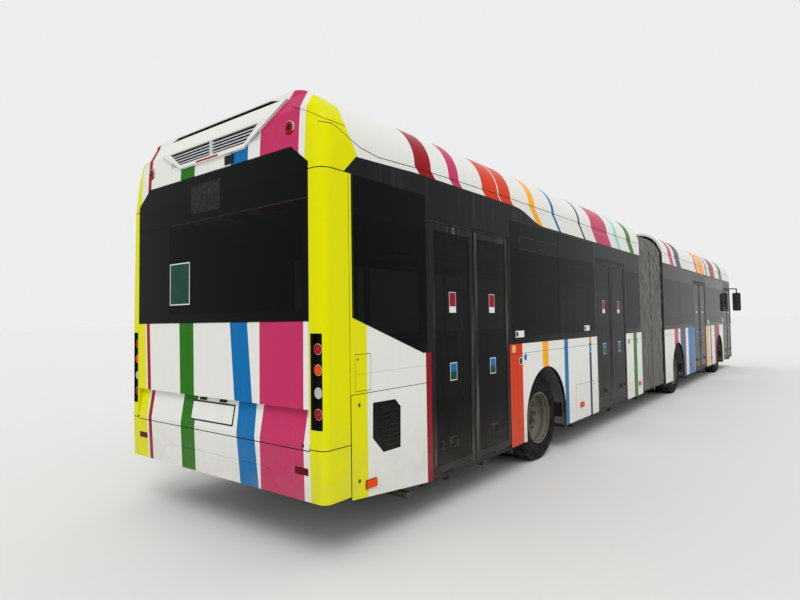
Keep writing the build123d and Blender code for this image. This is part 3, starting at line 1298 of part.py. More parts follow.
# Driver's place
cab = block(CAB_REAR, CAB_REAR + CAB_WALL, CAB_RIGHT, INNER_HALF, FLOOR_TOP, CAB_TOP)
cab += block(CAB_REAR, CAB_FRONT, CAB_RIGHT, CAB_RIGHT + CAB_WALL, FLOOR_TOP, CAB_TOP)
cab += block(CAB_REAR, CAB_FRONT, CAB_RIGHT, INNER_HALF, FLOOR_TOP, CAB_FLOOR)
desk = make_face(
    Polyline(
        (at(DESK_REAR), DESK_LOW),
        (at(DESK_REAR), DESK_TOP - 40),
        (at(DESK_REAR + 120), DESK_TOP),
        (at(DESK_FRONT), DESK_TOP),
        (at(DESK_FRONT), FLOOR_TOP),
        (at(DESK_FRONT - 130), FLOOR_TOP),
        close=True,
    )
)
cab += across(desk, -DESK_RIGHT, INNER_HALF)
wheel_middle = (at(DESK_REAR - 60), CAB_SEAT_MIDDLE, DESK_TOP + 60)
column = rod(28, (at(DESK_REAR + 90), CAB_SEAT_MIDDLE, DESK_TOP - 80), wheel_middle)
tilt = Plane(origin=wheel_middle, z_dir=(-sin(radians(STEERING_TILT)), 0, cos(radians(STEERING_TILT))))
rim = tilt * Torus(STEERING_RADIUS, 15)
spokes = tilt * (Box(2 * STEERING_RADIUS, 40, 14) + Cylinder(60, 30))
cab = fuse([cab, column, rim, spokes, seat(CAB_SEAT, CAB_FLOOR, CAB_SEAT_MIDDLE, 1)])
save("driver_cab", cab)

# Headlamps and mirrors
lens = front_skin & block(
    FRONT_MASK_START,
    OVERALL_LENGTH,
    HEADLAMP_IN + GROOVE,
    HEADLAMP_OUT - GROOVE,
    HEADLAMP_LOW + GROOVE,
    HEADLAMP_HIGH - GROOVE,
)
save("headlamps", lens, mirrored(lens))
glass_box = block(MIRROR_REAR, MIRROR_FRONT, MIRROR_IN, MIRROR_OUT, MIRROR_LOW, MIRROR_HIGH)
head = fillet(glass_box.edges().filter_by(Axis.X), 50)
middle = (MIRROR_IN + MIRROR_OUT) / 2
elbow = (at((MIRROR_REAR + MIRROR_FRONT) / 2), middle, MIRROR_HIGH + 130)
arm = rod(MIRROR_ARM_RADIUS, (at(MIRROR_REAR - 60), HALF_WIDTH + SEAT_GAP, MIRROR_HIGH + 130), elbow)
arm += rod(MIRROR_ARM_RADIUS, elbow, (elbow[0], middle, MIRROR_HIGH - 20))
arm += Pos(*elbow) * Sphere(MIRROR_ARM_RADIUS)
save("mirrors", head + arm, mirrored(head + arm))
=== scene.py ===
"""Looks of an articulated city bus: its finishes, bellows, small trim and stage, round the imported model.

Metres, in the model's own frame: +X is forward, +Y is the bus's left, +Z is up. A station is a distance
ahead of the rear face.
"""

from math import cos, hypot, pi, radians, sin

import bmesh
import bpy
from mathutils import Matrix, Vector


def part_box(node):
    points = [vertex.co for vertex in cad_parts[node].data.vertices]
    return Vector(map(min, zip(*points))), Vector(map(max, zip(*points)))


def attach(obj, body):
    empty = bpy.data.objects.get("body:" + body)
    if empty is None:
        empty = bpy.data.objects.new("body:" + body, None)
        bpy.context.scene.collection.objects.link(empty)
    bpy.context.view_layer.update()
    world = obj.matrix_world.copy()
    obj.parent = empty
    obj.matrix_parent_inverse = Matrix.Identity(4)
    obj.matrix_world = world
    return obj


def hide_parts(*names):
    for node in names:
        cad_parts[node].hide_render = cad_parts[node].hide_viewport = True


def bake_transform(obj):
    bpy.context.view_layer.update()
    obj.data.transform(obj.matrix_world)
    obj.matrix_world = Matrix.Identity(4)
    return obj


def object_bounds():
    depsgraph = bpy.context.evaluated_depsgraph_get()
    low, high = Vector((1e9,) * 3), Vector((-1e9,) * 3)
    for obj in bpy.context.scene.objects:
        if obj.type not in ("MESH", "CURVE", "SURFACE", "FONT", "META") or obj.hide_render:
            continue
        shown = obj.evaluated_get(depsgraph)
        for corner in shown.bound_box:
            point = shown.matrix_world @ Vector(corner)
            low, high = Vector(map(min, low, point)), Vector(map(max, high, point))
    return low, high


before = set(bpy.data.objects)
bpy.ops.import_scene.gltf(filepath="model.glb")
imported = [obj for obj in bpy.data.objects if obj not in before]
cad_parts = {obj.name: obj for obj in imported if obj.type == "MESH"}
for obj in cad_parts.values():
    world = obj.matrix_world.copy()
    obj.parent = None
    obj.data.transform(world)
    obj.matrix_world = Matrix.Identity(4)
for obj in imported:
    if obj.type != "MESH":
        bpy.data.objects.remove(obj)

bl_info = {
    "name": "Articulated city bus",
    "version": (1, 0, 0),
    "blender": (4, 5, 0),
    "location": "3D View > Sidebar > Bus",
    "description": "Finishes, bellows, trim and stage of an articulated low-floor city bus",
    "category": "Object",
}

# The model's box, the body's half width, the axles' stations, and the radii of the tyres and their arches
CAD_LOW, CAD_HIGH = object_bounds()
REAR = CAD_LOW.x
HALF_WIDTH = 1.275
AXLES = {"front": 15.52, "middle": 10.27, "rear": 3.51}
TYRE_RADIUS = 0.4785
ARCH_REACH = 0.607

# Millimetres in a metre
MILLIMETRES = 1000

# Depths of the side walls, as distances from the middle
SKIN = 1.2735
GROOVE_FLOOR = 1.2705
LINING = 1.2325

# Cross-stripes: station where each colour starts
WALL_STRIPES = (
    (0, "yellow"), (0.425, "white"), (1.142, "black"), (1.15, "dark_red"), (1.232, "white"),
    (2.55, "orange"), (2.9, "white"),
    (3.41, "amber"), (3.57, "white"), (4.05, "blue"), (4.17, "white"), (4.92, "navy"), (5.0, "white"),
    (7.0, "green"), (7.2, "white"), (9.97, "pink"), (10.33, "white"), (10.52, "navy"), (11.05, "white"),
    (11.32, "blue"), (12.0, "white"), (13.62, "amber"), (13.97, "white"), (14.11, "blue"), (14.3, "white"),
    (14.78, "dark_red"), (15.58, "white"), (16.25, "green"), (16.55, "white"),
)
REAR_COVER_STRIPES = (
    (0, "white"), (1.03, "dark_red"), (1.26, "white"), (1.53, "pink"), (1.69, "white"), (2.11, "orange"),
    (2.42, "white"), (2.44, "orange"), (2.7, "white"), (3.14, "amber"), (3.29, "white"), (3.76, "blue"),
    (3.84, "white"), (4.62, "navy"), (4.69, "white"), (5.12, "pink"), (5.8, "white"), (6.12, "teal"),
    (6.27, "white"), (6.76, "green"), (7, "white"),
)
FRONT_COVER_STRIPES = (
    (0, "white"), (9.61, "pink"), (9.92, "white"), (10.16, "navy"), (10.62, "white"), (12.27, "orange"),
    (12.47, "white"), (12.58, "amber"), (13.38, "white"), (13.63, "blue"), (13.8, "white"),
    (14.2, "dark_red"), (14.95, "white"), (15.7, "green"), (16.2, "white"),
)

# Station between the two roof covers, and the height below which their stripes lean, and how much
COVER_SPLIT = 8.3
LEAN_TOP = 2.86
LEAN = 1.15

# Upright stripes of the rear face: colour, right and left edge, and how much each moves for a metre down
REAR_STRIPES = (
    ("dark_red", 0.942, 0.997, -0.042, -0.042),
    ("green", 0.239, 0.452, -0.0126, -0.0235),
    ("blue", -0.476, -0.262, -0.096, -0.094),
    ("pink", -1.087, -0.619, 0.009, 0.004),
)

# Rear face: where its stripes and yellow edges end, the lid's locks, and the line where it meets the sides
STRIPE_TOP = 1.61
LID_TOP = 2
LID_YELLOW = 1.017
LID_YELLOW_LEAN = 0.035
LID_LOCKS = ((1.141, 0.787), (-1.073, 0.796))
LID_LOCK_RADIUS = 0.013
LID_FACE = 0.03
PILLAR_EDGE = 1.1395
COVER_YELLOW = 1.103
PINK_EDGE = -1.042
CORNER_LINE = (
    (0, 0.252), (2.64, 0.252), (2.66, 0.4), (2.786, 0.352), (2.907, 0.272), (3.024, 0.238), (3.133, 0.262),
    (3.164, 0.216), (3.28, 0.15),
)
CORNER_REACH = 3.4

# White frame of the grille: its low edge, and the height, slope and half width of its two slanting edges
FRAME_LOW = 2.93
FRAME_EDGES = ((2.934, 1.87, 0.44), (3.098, 0.863, 0.747))

# Black window band: station and height of its top edge, and the slanting sill of the rear quarter
BAND_TOP = (
    (0.1, 2.6), (0.219, 2.659), (0.337, 2.778), (0.58, 2.786), (1.03, 2.804), (2.75, 2.806), (2.9, 2.797),
    (3.03, 2.775), (3.15, 2.742), (3.27, 2.71), (3.38, 2.685), (3.5, 2.675), (3.6, 2.675),
)
BAND_START = 0.278
BAND_OVERHANG = 0.06
ROOF_JOINT = 2.645
SILL = 1.355
QUARTER = (0.255, 1.651, 0.347)

# Gap along the roof cover, painted dark along it as painted shade: station and height, the width from which
# it runs, and its middle and half height
COVER_GAP = (
    (0, 2.978), (0.156, 2.947), (0.284, 2.89), (0.383, 2.854), (0.58, 2.828), (1.05, 2.848), (1.69, 2.86),
    (2.7, 2.872), (3.6, 2.872),
)
COVER_SIDE = 1.2
SEAM_DROP = 0.0025
SEAM_HALF = 0.0032

# Places on the body, each by its limits in station, in width from the middle and in height
OPEN = 99
ANY = (-OPEN, OPEN)
ROOF_START = ROOF_JOINT + 0.002
WALL_RUN = (0.2545, 17.797)
WALL_HEIGHT = (-OPEN, ROOF_JOINT - 0.001)
INNER_WALL = (WALL_RUN, (-OPEN, GROOVE_FLOOR), WALL_HEIGHT)
# Painted shade: the floors of the wall grooves are painted black, except on the plain stretch of wall below
WALL_GROOVES = (WALL_RUN, (GROOVE_FLOOR, SKIN), WALL_HEIGHT)
WALL_LINING = (WALL_RUN, (-OPEN, LINING), WALL_HEIGHT)
PLAIN_WALL = ((-OPEN, 1.215), ANY, (1.247, 1.257))
WINDSCREEN_EDGE = ((17.84, OPEN), (-OPEN, 1.21), (0.97, 2.675))
ROOF_SEAM = (ANY, (1.13, OPEN), (ROOF_JOINT - 0.001, ROOF_JOINT + 0.0065))
BUMPER_JOINT = ((-OPEN, 0.26), (-OPEN, PILLAR_EDGE), (0.7625, 0.7695))
PILLAR_JOINT = ((-OPEN, 0.26), (1.13, OPEN), (0.775, 0.7815))
CLUSTER_POCKET = ((-OPEN, 0.1), (1.1535, 1.2515), (0.9085, 1.5435))
GRILLE_WELL = ((0.044, 0.25), (-OPEN, 0.62), (2.95, 3.1))
AIR_SLOT = ((0.112, 0.25), (-OPEN, 0.81), (3.226, 3.27))
LID_HEEL = ((0.0435, 0.2), (-OPEN, PILLAR_EDGE), (-OPEN, STRIPE_TOP + 0.012))
DARK_PLACES = (
    INNER_WALL, WINDSCREEN_EDGE, ROOF_SEAM, BUMPER_JOINT, PILLAR_JOINT, CLUSTER_POCKET, GRILLE_WELL,
    AIR_SLOT, LID_HEEL,
)
COVER_LINE = ((3.1, OPEN), (1.27, OPEN), (2.8205, 2.8235))
SLATS = ((0.0085, 0.044), (-OPEN, 0.612), (2.964, 3.086))
# Depths over which the slats darken to black: painted shade deeper in the grille
SLAT_FADE = (0.018, 0.034)
ROOF_DECK = ((0.63, 17.14), (-OPEN, 0.79), (2.7, 3.24))
CAMERA_PATCH = ((-OPEN, 0.0125), (-0.301, -0.189), (2.847, 2.919))
SIDE_VIEW = (ANY, (1.2, OPEN), (1.43, 2.365))
FRONT_VIEW = ((17.8, OPEN), (-OPEN, 1.12), (1.06, 2.3))
REAR_VIEW = ((-OPEN, 0.1), (-1.07, 0.595), (1.7, 2.452))
REAR_DISPLAY = ((-OPEN, 0.1), (-0.13, 0.28), (2.52, 2.76))
REAR_LINE = ((-OPEN, 0.1), (-OPEN, 0.6), (2.4548, 2.4592))
LEAF_PANE = (ANY, (1.2615, 1.2685), (0.4, 2.38))
LEAF_FRAME_LOW = 0.42
FLOOR_UNDERSIDE = 0.317

# Lamps of the rear corner: height and colour, the lens, its rim and its pattern, and the high lamps
CLUSTER = ((1.439, "lamp_red"), (1.301, "lamp_amber"), (1.15, "lamp_clear"), (1.01, "dark_red"))
CLUSTER_MIDDLE = 1.203
CLUSTER_HALF_PITCH = 0.06
CLUSTER_TOP = 2
LENS_RADIUS = 0.0345
LENS_RIM = 0.0375
LENS_DEPTH = 0.0465
LENS_RINGS = 700
LENS_SPOKES = 24
HIGH_LAMP = (0.941, 2.977)
HIGH_LAMP_RADIUS = 0.043
HIGH_LAMP_BULB = 0.024
HIGH_REFLECTOR = (ANY, (0.8, OPEN), (2.95, OPEN))

# Headlamps: distances of the reflectors from the middle, their height, radii and rings
HEADLAMPS = (0.89, 1.09)
HEADLAMP_HEIGHT = 0.67
HEADLAMP_BOWL = 0.085
HEADLAMP_RADIUS = 0.088
HEADLAMP_RINGS = 500

# Wheels: radii at which the finish changes; waves to a metre or a turn of the tyre's pattern, how far the
# blocks stray, the levels at which the waves are cut, and the shares of the relief
HUB_EDGE = 0.108
TYRE_BEAD = 0.2862
RIB_EDGE = 0.45
TREAD_EDGE = 0.462
SIDEWALL_RIBS = 330
TREAD_BLOCKS = 84
TREAD_WANDER = 90
TREAD_GROOVES = 140
TREAD_SWING = 1.2
TREAD_CUT = 0.55
GROOVE_CUT = 0.86
RIB_RELIEF = 0.16
TREAD_RELIEF = 1.6

# Turntable: waves to a metre of its raised pattern, and the level at which they are cut
TREAD_PLATE = 160
PLATE_CUT = 0.55

# Stage: floor, view and light; and the angle between two faces from which their edge is sharp
FLOOR_TONE = (0.72, 0.72, 0.71)
FLOOR_REACH = 400
VIEW_REACH = 500
WORLD_STRENGTH = 0.85
SHARP_ANGLE = radians(32)

# Bellows: how the cloth is held, folds and hangs, and the steps round the outline and along a fold
CLOTH_INSET = 0.002
CLOTH_THICKNESS = 0.003
CLOTH_WEAVE = 1500
FOLD_SHARPNESS = 0.6
CRUMPLE = 0.003
LOOSE_HEIGHT = 0.9
LOW_SWAY = 0.35
SHOULDER = 0.43
PLEATS = 7
PLEAT_STEPS = 8
CLOTH_HALF, CLOTH_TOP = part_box("rear_bellows")[1].yz
PATH_STEPS = 60

# Waves in the cloth: the share of each sway, and the turn of each wave for a step and for a pleat
SWAYS = ((1, 1.25, 2.3), (0.7, 0.71, -1.7))
CRUMPLE_WAVE = (0.52, 1.3)

# Grab poles: stations on the left and on the right of the aisle
LEFT_POLES = (4.3, 6.0, 11.0, 12.8, 14.7)
RIGHT_POLES = (2.7, 5.2, 6.65, 12.18, 13.4, 16.42)


def at(station):
    """X of a distance ahead of the rear face."""
    return REAR + station


def srgb(code):
    """Linear colour of a hexadecimal screen colour."""
    channels = [int(code[place:place + 2], 16) / 255 for place in (0, 2, 4)]
    return tuple(c / 12.92 if c <= 0.04045 else ((c + 0.055) / 1.055) ** 2.4 for c in channels)


def colour(name, code, note):
    """A colour that the user can change, from its screen code."""
    return bpy.props.FloatVectorProperty(
        name=name, description=note, subtype="COLOR", size=3, min=0, max=1, default=srgb(code)
    )


def length(name, value, note):
    """A length that the user can change, in metres."""
    return bpy.props.FloatProperty(name=name, description=note, unit="LENGTH", default=value)


def angle(name, value, note):
    """An angle that the user can change, given here in degrees."""
    return bpy.props.FloatProperty(name=name, description=note, subtype="ANGLE", default=radians(value))


def share(name, value, note):
    """A share from 0 to 1 that the user can change."""
    return bpy.props.FloatProperty(name=name, description=note, min=0, max=1, default=value)


class BusColours(bpy.types.PropertyGroup):
    """Colours of the paint, the trim and the inside."""

    white: colour("White", "DCDCD7", "Paint between the stripes")
    black: colour("Black", "1A1B1D", "Window band")
    yellow: colour("Yellow", "D8D700", "Rear corner pillars")
    pink: colour("Pink", "BA305F", "Wide stripes")
    dark_red: colour("Dark red", "920A18", "Narrow stripes and the lowest lamp")
    green: colour("Green", "1F6C00", "Rear and gangway stripes")
    blue: colour("Blue", "0068A6", "Rear and side stripes")
    orange: colour("Orange", "CC3503", "Stripe ahead of the rearmost door")
    amber: colour("Amber", "EFA505", "Stripe over the rear axle")
    navy: colour("Navy", "26325A", "Dark stripes")
    teal: colour("Teal", "8CCBC5", "Pale stripe on the roof cover")
    lamp_red: colour("Lamp red", "A2070C", "Rear lamps")
    lamp_amber: colour("Lamp amber", "E04404", "Turn lamps and side markers")
    lamp_clear: colour("Lamp clear", "B4B6AF", "Reversing lamp and lamp rings")
    reflector: colour("Reflector red", "5A0810", "Reflectors low on the rear face")
    sign_green: colour("Sign green", "0A3F30", "Blank sign behind the rear window")
    deck: colour("Roof deck", "B9BBB9", "Trough and units on the roof")
    slat: colour("Slats", "BFC2C3", "Blades of the grille on the roof end")
    bellows: colour("Bellows grey", "676660", "Coated fabric of the gangway")
    rubber: colour("Rubber", "0E0E0F", "Tyres and seals")
    rim: colour("Rim grey", "67635B", "Painted steel rims")
    chassis: colour("Chassis", "1E1F21", "Underframe and axles")
    iron: colour("Engine iron", "4A4D50", "Engine castings")
    plastic: colour("Moulded plastic", "1A1B1D", "Mirrors, lamp beds and fittings")
    inside: colour("Inside panels", "B4B6B3", "Ceiling and wall lining")
    flooring: colour("Flooring", "4D5156", "Speckled floor covering")
    seat: colour("Seat shells", "36465F", "Moulded seats")
    pole: colour("Grab poles", "D8B400", "Coated handrails")
    tint: colour("Glass tint", "050607", "Tinted glass")
    # Colour of the road film, and also of the painted highlight streaks on the door frames
    dust_and_sheen: colour("Road film", "8A8376", "Film of dirt low on the body")


class BusSizes(bpy.types.PropertyGroup):
    """Sizes and amounts that the model doesn't hold."""

    camera_height: length("Camera height", 1.622, "Height of the eye above the ground")
    camera_back: length("Camera behind", 2.508, "Distance of the eye behind the rear face")
    camera_aside: length("Camera aside", 3.885, "Distance of the eye to the right of the middle")
    camera_yaw: angle("Camera yaw", 38.16, "Turn of the view to the left of straight ahead")
    camera_pitch: angle("Camera pitch", 2.09, "Tilt of the view above the horizon")
    camera_roll: angle("Camera roll", -0.867, "Turn of the picture about the line of sight")
    lens: bpy.props.FloatProperty(
        name="Lens", description="Focal length for a 36 mm wide picture", default=24.85
    )
    road_film: share("Road film", 0.22, "How much dirt lies low on the body")
    glass_opacity: share("Glass opacity", 0.74, "How dark the tinted glass is")
    pleat_depth: length("Pleat depth", 0.036, "Depth of the bellows' folds")
    pleat_wander: length("Pleat wander", 0.009, "How far the fabric strays from an even fold")
    nut_circle: length("Wheel nut circle", 0.158, "Radius of the circle of wheel nuts")


class Wire:
    """A node's output on which arithmetic can be written."""

    def __init__(self, finish, socket):
        self.finish = finish
        self.socket = socket

    def __add__(self, other):
        return self.finish.maths("ADD", self, other)

    def __radd__(self, other):
        return self.finish.maths("ADD", other, self)

    def __sub__(self, other):
        return self.finish.maths("SUBTRACT", self, other)

    def __rsub__(self, other):
        return self.finish.maths("SUBTRACT", other, self)

    def __mul__(self, other):
        return self.finish.maths("MULTIPLY", self, other)

    def __rmul__(self, other):
        return self.finish.maths("MULTIPLY", other, self)

    def __truediv__(self, other):
        return self.finish.maths("DIVIDE", self, other)

    def __gt__(self, other):
        return self.finish.maths("GREATER_THAN", self, other)

    def __lt__(self, other):
        return self.finish.maths("LESS_THAN", self, other)

    def __abs__(self):
        return self.finish.maths("ABSOLUTE", self)


class Finish:
    """A material in the making: its nodes, its shader and the ways to add to them."""

    def __init__(self, name, **settings):
        self.material = bpy.data.materials.new(name)
        self.material.use_nodes = True
        self.tree = self.material.node_tree
        self.shader = self.tree.nodes["Principled BSDF"]
        self.set(**settings)

    def set(self, **settings):
        """Put values or wires on the shader's sockets, named in lower case with underscores."""
        for name, value in settings.items():
            self.join(self.shader.inputs[name.replace("_", " ").title().replace("Ior", "IOR")], value)

    def join(self, socket, value):
        """Put a value or a wire on one socket."""
        if isinstance(value, Wire):
            self.tree.links.new(value.socket, socket)
        elif hasattr(value, "__len__") and len(socket.default_value) == 4 and len(value) == 3:
            socket.default_value = (*value, 1)
        else:
            socket.default_value = value

    def node(self, kind, settings=None, output=0, **sockets):
        """Any node: its type, its settings and what goes on its sockets, and the output that is wanted."""
        made = self.tree.nodes.new("ShaderNode" + kind)
        for name, value in (settings or {}).items():
            if name == "stops":
                self.set_stops(made.color_ramp, value)
            else:
                setattr(made, name, value)
        for name, value in sockets.items():
            key = int(name[1:]) if name[0] == "_" else name.title()
            self.join(made.inputs[key], value)
        return Wire(self, made.outputs[output])

    def set_stops(self, ramp, stops):
        """Give a ramp its stops, each a place and a colour."""
        ramp.elements.remove(ramp.elements[1])
        for number, (place, shade) in enumerate(stops):
            element = ramp.elements.new(place) if number else ramp.elements[0]
            element.position = place
            element.color = (*shade, 1)

    def maths(self, operation, *values):
        """A Math node."""
        return self.node("Math", {"operation": operation}, **{f"_{n}": v for n, v in enumerate(values)})

    def spot(self):
        """The point on the resting bus."""
        return self.node("TexCoord", output="Object")

    def place(self):
        """X, Y and Z of the point on the resting bus, in metres."""
        return [self.node("SeparateXYZ", output=axis, _0=self.spot()) for axis in ("X", "Y", "Z")]

    def between(self, value, low, high):
        """1 where a value lies between two limits, else 0."""
        return (value > low) * (value < high)

    def zone(self, values, limits):
        """1 in a block of space, by the limits on each value."""
        inside = 1
        for value, (low, high) in zip(values, limits):
            inside = inside * (value > low) if low > -OPEN else inside
            inside = inside * (value < high) if high < OPEN else inside
        return inside

    def least(self, first, second):
        """The smaller of two."""
        return self.maths("MINIMUM", first, second)

    def most(self, first, second):
        """The larger of two."""
        return self.maths("MAXIMUM", first, second)

    def either(self, *masks):
        """1 where any of the masks is 1."""
        found = masks[0]
        for mask in masks[1:]:
            found = self.most(found, mask)
        return found

    def reach(self, aside, lift):
        """Distance from a point, by its two offsets."""
        return self.maths("SQRT", aside * aside + lift * lift)

    def wave(self, phase):
        """A sine wave."""
        return self.maths("SINE", phase)

    def fade(self, value, low, high, start=0, end=1):
        """A smooth step of a value from one level to another."""
        return self.node(
            "MapRange", {"interpolation_type": "SMOOTHSTEP"}, _0=value, _1=low, _2=high, _3=start, _4=end
        )

    def mix(self, amount, first, second):
        """A colour between two, or over a share."""
        return self.node("Mix", {"data_type": "RGBA"}, output=2, _0=amount, _6=first, _7=second)

    def bands(self, station, stripes, shades):
        """Stripes of paint along the bus."""
        paint = getattr(shades, stripes[0][1])
        for start, name in stripes[1:]:
            paint = self.mix(station > start, paint, getattr(shades, name))
        return paint

    def level(self, value, points, reach):
        """A broken line through points, of a value that runs from 0 to reach."""
        top = max(height for _, height in points)
        stops = [(place / reach, (height / top,) * 3) for place, height in points]
        return self.node("ValToRGB", {"stops": stops}, _0=value / reach) * top

    def noise(self, scale, detail=4, stretch=(1, 1, 1)):
        """Cloudy noise of a scale in features for each metre."""
        spot = self.node("VectorMath", {"operation": "MULTIPLY"}, _0=self.spot(), _1=stretch)
        return self.node("TexNoise", _0=spot, Scale=scale, Detail=detail)

    def bump(self, height, strength, depth):
        """Surface relief from a height, for the shader's normal."""
        self.set(normal=self.node("Bump", Strength=strength, Distance=depth, Height=height))

    def weather(self, paint, shades, amount, roughness):
        """Paint with a road film low down, faint streaks below the windows and an uneven gloss."""
        patches = self.fade(self.noise(scale=7, detail=6), 0.3, 0.75, start=0.3)
        film = self.fade(self.place()[2], 1.1, 0.3) * patches
        streak = self.fade(self.noise(scale=9, detail=5, stretch=(1.6, 1.6, 0.12)), 0.5, 0.85) * 0.35
        dirt = (film + streak) * amount
        gloss = self.noise(scale=3, detail=3) * 0.1 + roughness + dirt * 0.4
        self.set(base_color=self.mix(dirt, paint, shades.dust_and_sheen), roughness=gloss)


def plain(name, shades, tone, roughness, grain, relief, metallic=0, wear=0.12, **settings):
    """A finish of one colour, with cloudy wear in its tone and a fine relief in millimetres."""
    finish = Finish(name, metallic=metallic, specular_ior_level=0.06, **settings)
    cloud = finish.noise(grain / 14, detail=5)
    paint = getattr(shades, tone)
    finish.set(base_color=finish.mix(finish.fade(cloud, 0.35, 0.8) * wear, paint, shades.dust_and_sheen))
    finish.set(roughness=cloud * 0.2 + (roughness - 0.1))
    finish.bump(finish.noise(grain, detail=3), strength=0.5, depth=relief / MILLIMETRES)
    return finish.material


def flank_paint(finish, shades, station, z, high):
    """Cross-stripes of the walls and of the roof covers, which lean below the shoulder."""
    leaned = station - finish.most(LEAN_TOP - z, 0) * LEAN
    rear_cover = finish.bands(leaned, REAR_COVER_STRIPES, shades)
    front_cover = finish.bands(leaned, FRONT_COVER_STRIPES, shades)
    cover = finish.mix(station > COVER_SPLIT, rear_cover, front_cover)
    return finish.mix(high, finish.bands(station, WALL_STRIPES, shades), cover)


def tail_paint(finish, shades, spot, high):
    """Upright stripes, corner pillars and grille frame of the rear face."""
    y, z = spot[1:]
    side = abs(y)
    drop = finish.most(STRIPE_TOP - z, 0)
    yellow = (y > LID_YELLOW - drop * LID_YELLOW_LEAN) * (z < LID_TOP)
    tail = finish.mix(yellow, shades.white, shades.yellow)
    for name, right, left, right_lean, left_lean in REAR_STRIPES:
        inside = (y > drop * right_lean + right) * (y < drop * left_lean + left)
        tail = finish.mix(inside, tail, getattr(shades, name))
    tail = finish.mix(high * (y < PINK_EDGE), tail, shades.white)
    edge = PILLAR_EDGE - high * (PILLAR_EDGE - COVER_YELLOW)
    tail = finish.mix(side > edge, tail, shades.yellow)
    frame_line = finish.least(*[(z - height) * slope + half for height, slope, half in FRAME_EDGES])
    tail = finish.mix((z > FRAME_LOW) * (side < frame_line), tail, shades.white)
    return finish.mix(finish.zone(spot, CAMERA_PATCH), tail, shades.plastic)


def dark_parts(finish, spot, high):
    """Where the body is black: the window band, the seams, the wells and the pockets; with painted shade
    along the roof cover's gap and in the wall grooves.
    """
    station, side, z = spot
    start, rise, slope = QUARTER
    sill = finish.most(rise - (station - start) * slope, SILL)
    top = finish.level(station, BAND_TOP, BAND_TOP[-1][0])
    band = (z > sill) * (z < top) * (station > BAND_START - high * BAND_OVERHANG)
    # Painted shade along the roof cover's gap, and in the grooves between the wall panels
    gap = finish.level(station, COVER_GAP, COVER_GAP[-1][0]) - SEAM_DROP
    gap_shade = (side > COVER_SIDE) * (abs(z - gap) < SEAM_HALF)
    groove_shade = finish.zone(spot, WALL_GROOVES) * (1 - finish.zone(spot, PLAIN_WALL))
    return finish.either(band, gap_shade, groove_shade, *[finish.zone(spot, place) for place in DARK_PLACES])


def body_paint(shades, sizes):
    """Striped coach paint, with the black window band and seams, painted shade in the roof cover's gap and
    the wall grooves, the lining and the roof deck by place.
    """
    finish = Finish("body_paint", specular_ior_level=0.05)
    x, y, z = finish.place()
    station = x - REAR
    spot = (station, abs(y), z)
    high = z > ROOF_START
    flank = flank_paint(finish, shades, station, z, high)
    tail = tail_paint(finish, shades, (station, y, z), high)
    paint = finish.mix(station < finish.level(z, CORNER_LINE, CORNER_REACH), flank, tail)
    dark = dark_parts(finish, spot, high)
    for across, height in LID_LOCKS:
        lock = finish.reach(y - across, z - height) < LID_LOCK_RADIUS
        dark = finish.most(dark, lock * (station < LID_FACE))
    paint = finish.mix(dark, paint, shades.black)
    paint = finish.mix(finish.zone(spot, COVER_LINE), paint, shades.deck)
    # Painted shade: the slats darken to black deeper in the grille
    blade = finish.mix(finish.fade(station, *SLAT_FADE), shades.slat, shades.black)
    paint = finish.mix(finish.zone(spot, SLATS), paint, blade)
    paint = finish.mix(finish.zone(spot, ROOF_DECK), paint, shades.deck)
    paint = finish.mix(finish.zone(spot, WALL_LINING), paint, shades.inside)
    finish.weather(paint, shades, sizes.road_film, roughness=0.2)
    ripple = finish.noise(scale=260, detail=2) + finish.noise(scale=0.7, detail=0) * 9
    finish.bump(ripple, strength=0.3, depth=0.0001)
    return finish.material


def tinted_glass(shades, sizes):
    """Dark bonded glass, clear in the middle of each pane and black round its edge."""
    finish = Finish("tinted_glass", specular_ior_level=0.04)
    x, y, z = finish.place()
    spot, across = (x - REAR, abs(y), z), (x - REAR, y, z)
    views = [finish.zone(spot, SIDE_VIEW), finish.zone(spot, FRONT_VIEW), finish.zone(across, REAR_VIEW)]
    haze = finish.noise(scale=1.4, detail=3)
    speckle = finish.fade(finish.noise(scale=30, detail=5), 0.4, 0.7, start=0.08, end=0.2)
    tone = finish.mix(haze * 0.3, shades.tint, shades.black)
    tone = finish.mix(finish.zone(across, REAR_DISPLAY) * speckle, tone, shades.rim)
    tone = finish.mix(finish.zone(across, REAR_LINE) * 0.6, tone, shades.rim)
    finish.set(base_color=tone, roughness=haze * 0.05 + 0.02)
    finish.set(alpha=1 - finish.either(*views) * (1 - sizes.glass_opacity))
    finish.bump(finish.noise(scale=1.7, detail=2), strength=0.25, depth=0.0015)
    return finish.material


def leaf_finish(shades, sizes):
    """Black anodised door frame with its tinted pane, and painted highlight streaks down the frame."""
    finish = Finish("door_leaf", specular_ior_level=0.06)
    x, y, z = finish.place()
    pane = finish.zone((x, abs(y), z), LEAF_PANE)
    cloud = finish.noise(scale=5, detail=4)
    tone = finish.mix(pane * finish.fade(cloud, 0.3, 0.7, start=1, end=0.7), shades.plastic, shades.tint)
    frame_face = (1 - pane) * (z > LEAF_FRAME_LOW)
    # Painted highlights: pale upright streaks on the frame's face, in the pale film colour
    streak = finish.fade(finish.noise(scale=34, detail=4, stretch=(1, 1, 0.03)), 0.5, 0.72) * frame_face
    tone = finish.mix(streak * 0.4, tone, shades.dust_and_sheen)
    low = finish.fade(z, 0.9, 0.35) * cloud * sizes.road_film
    finish.set(base_color=finish.mix(low, tone, shades.dust_and_sheen), roughness=0.38 - pane * 0.33 + cloud * 0.06)
    finish.set(alpha=1 - pane * (1 - sizes.glass_opacity))
    finish.bump(finish.noise(scale=140, detail=2), strength=0.2, depth=0.0001)
    return finish.material


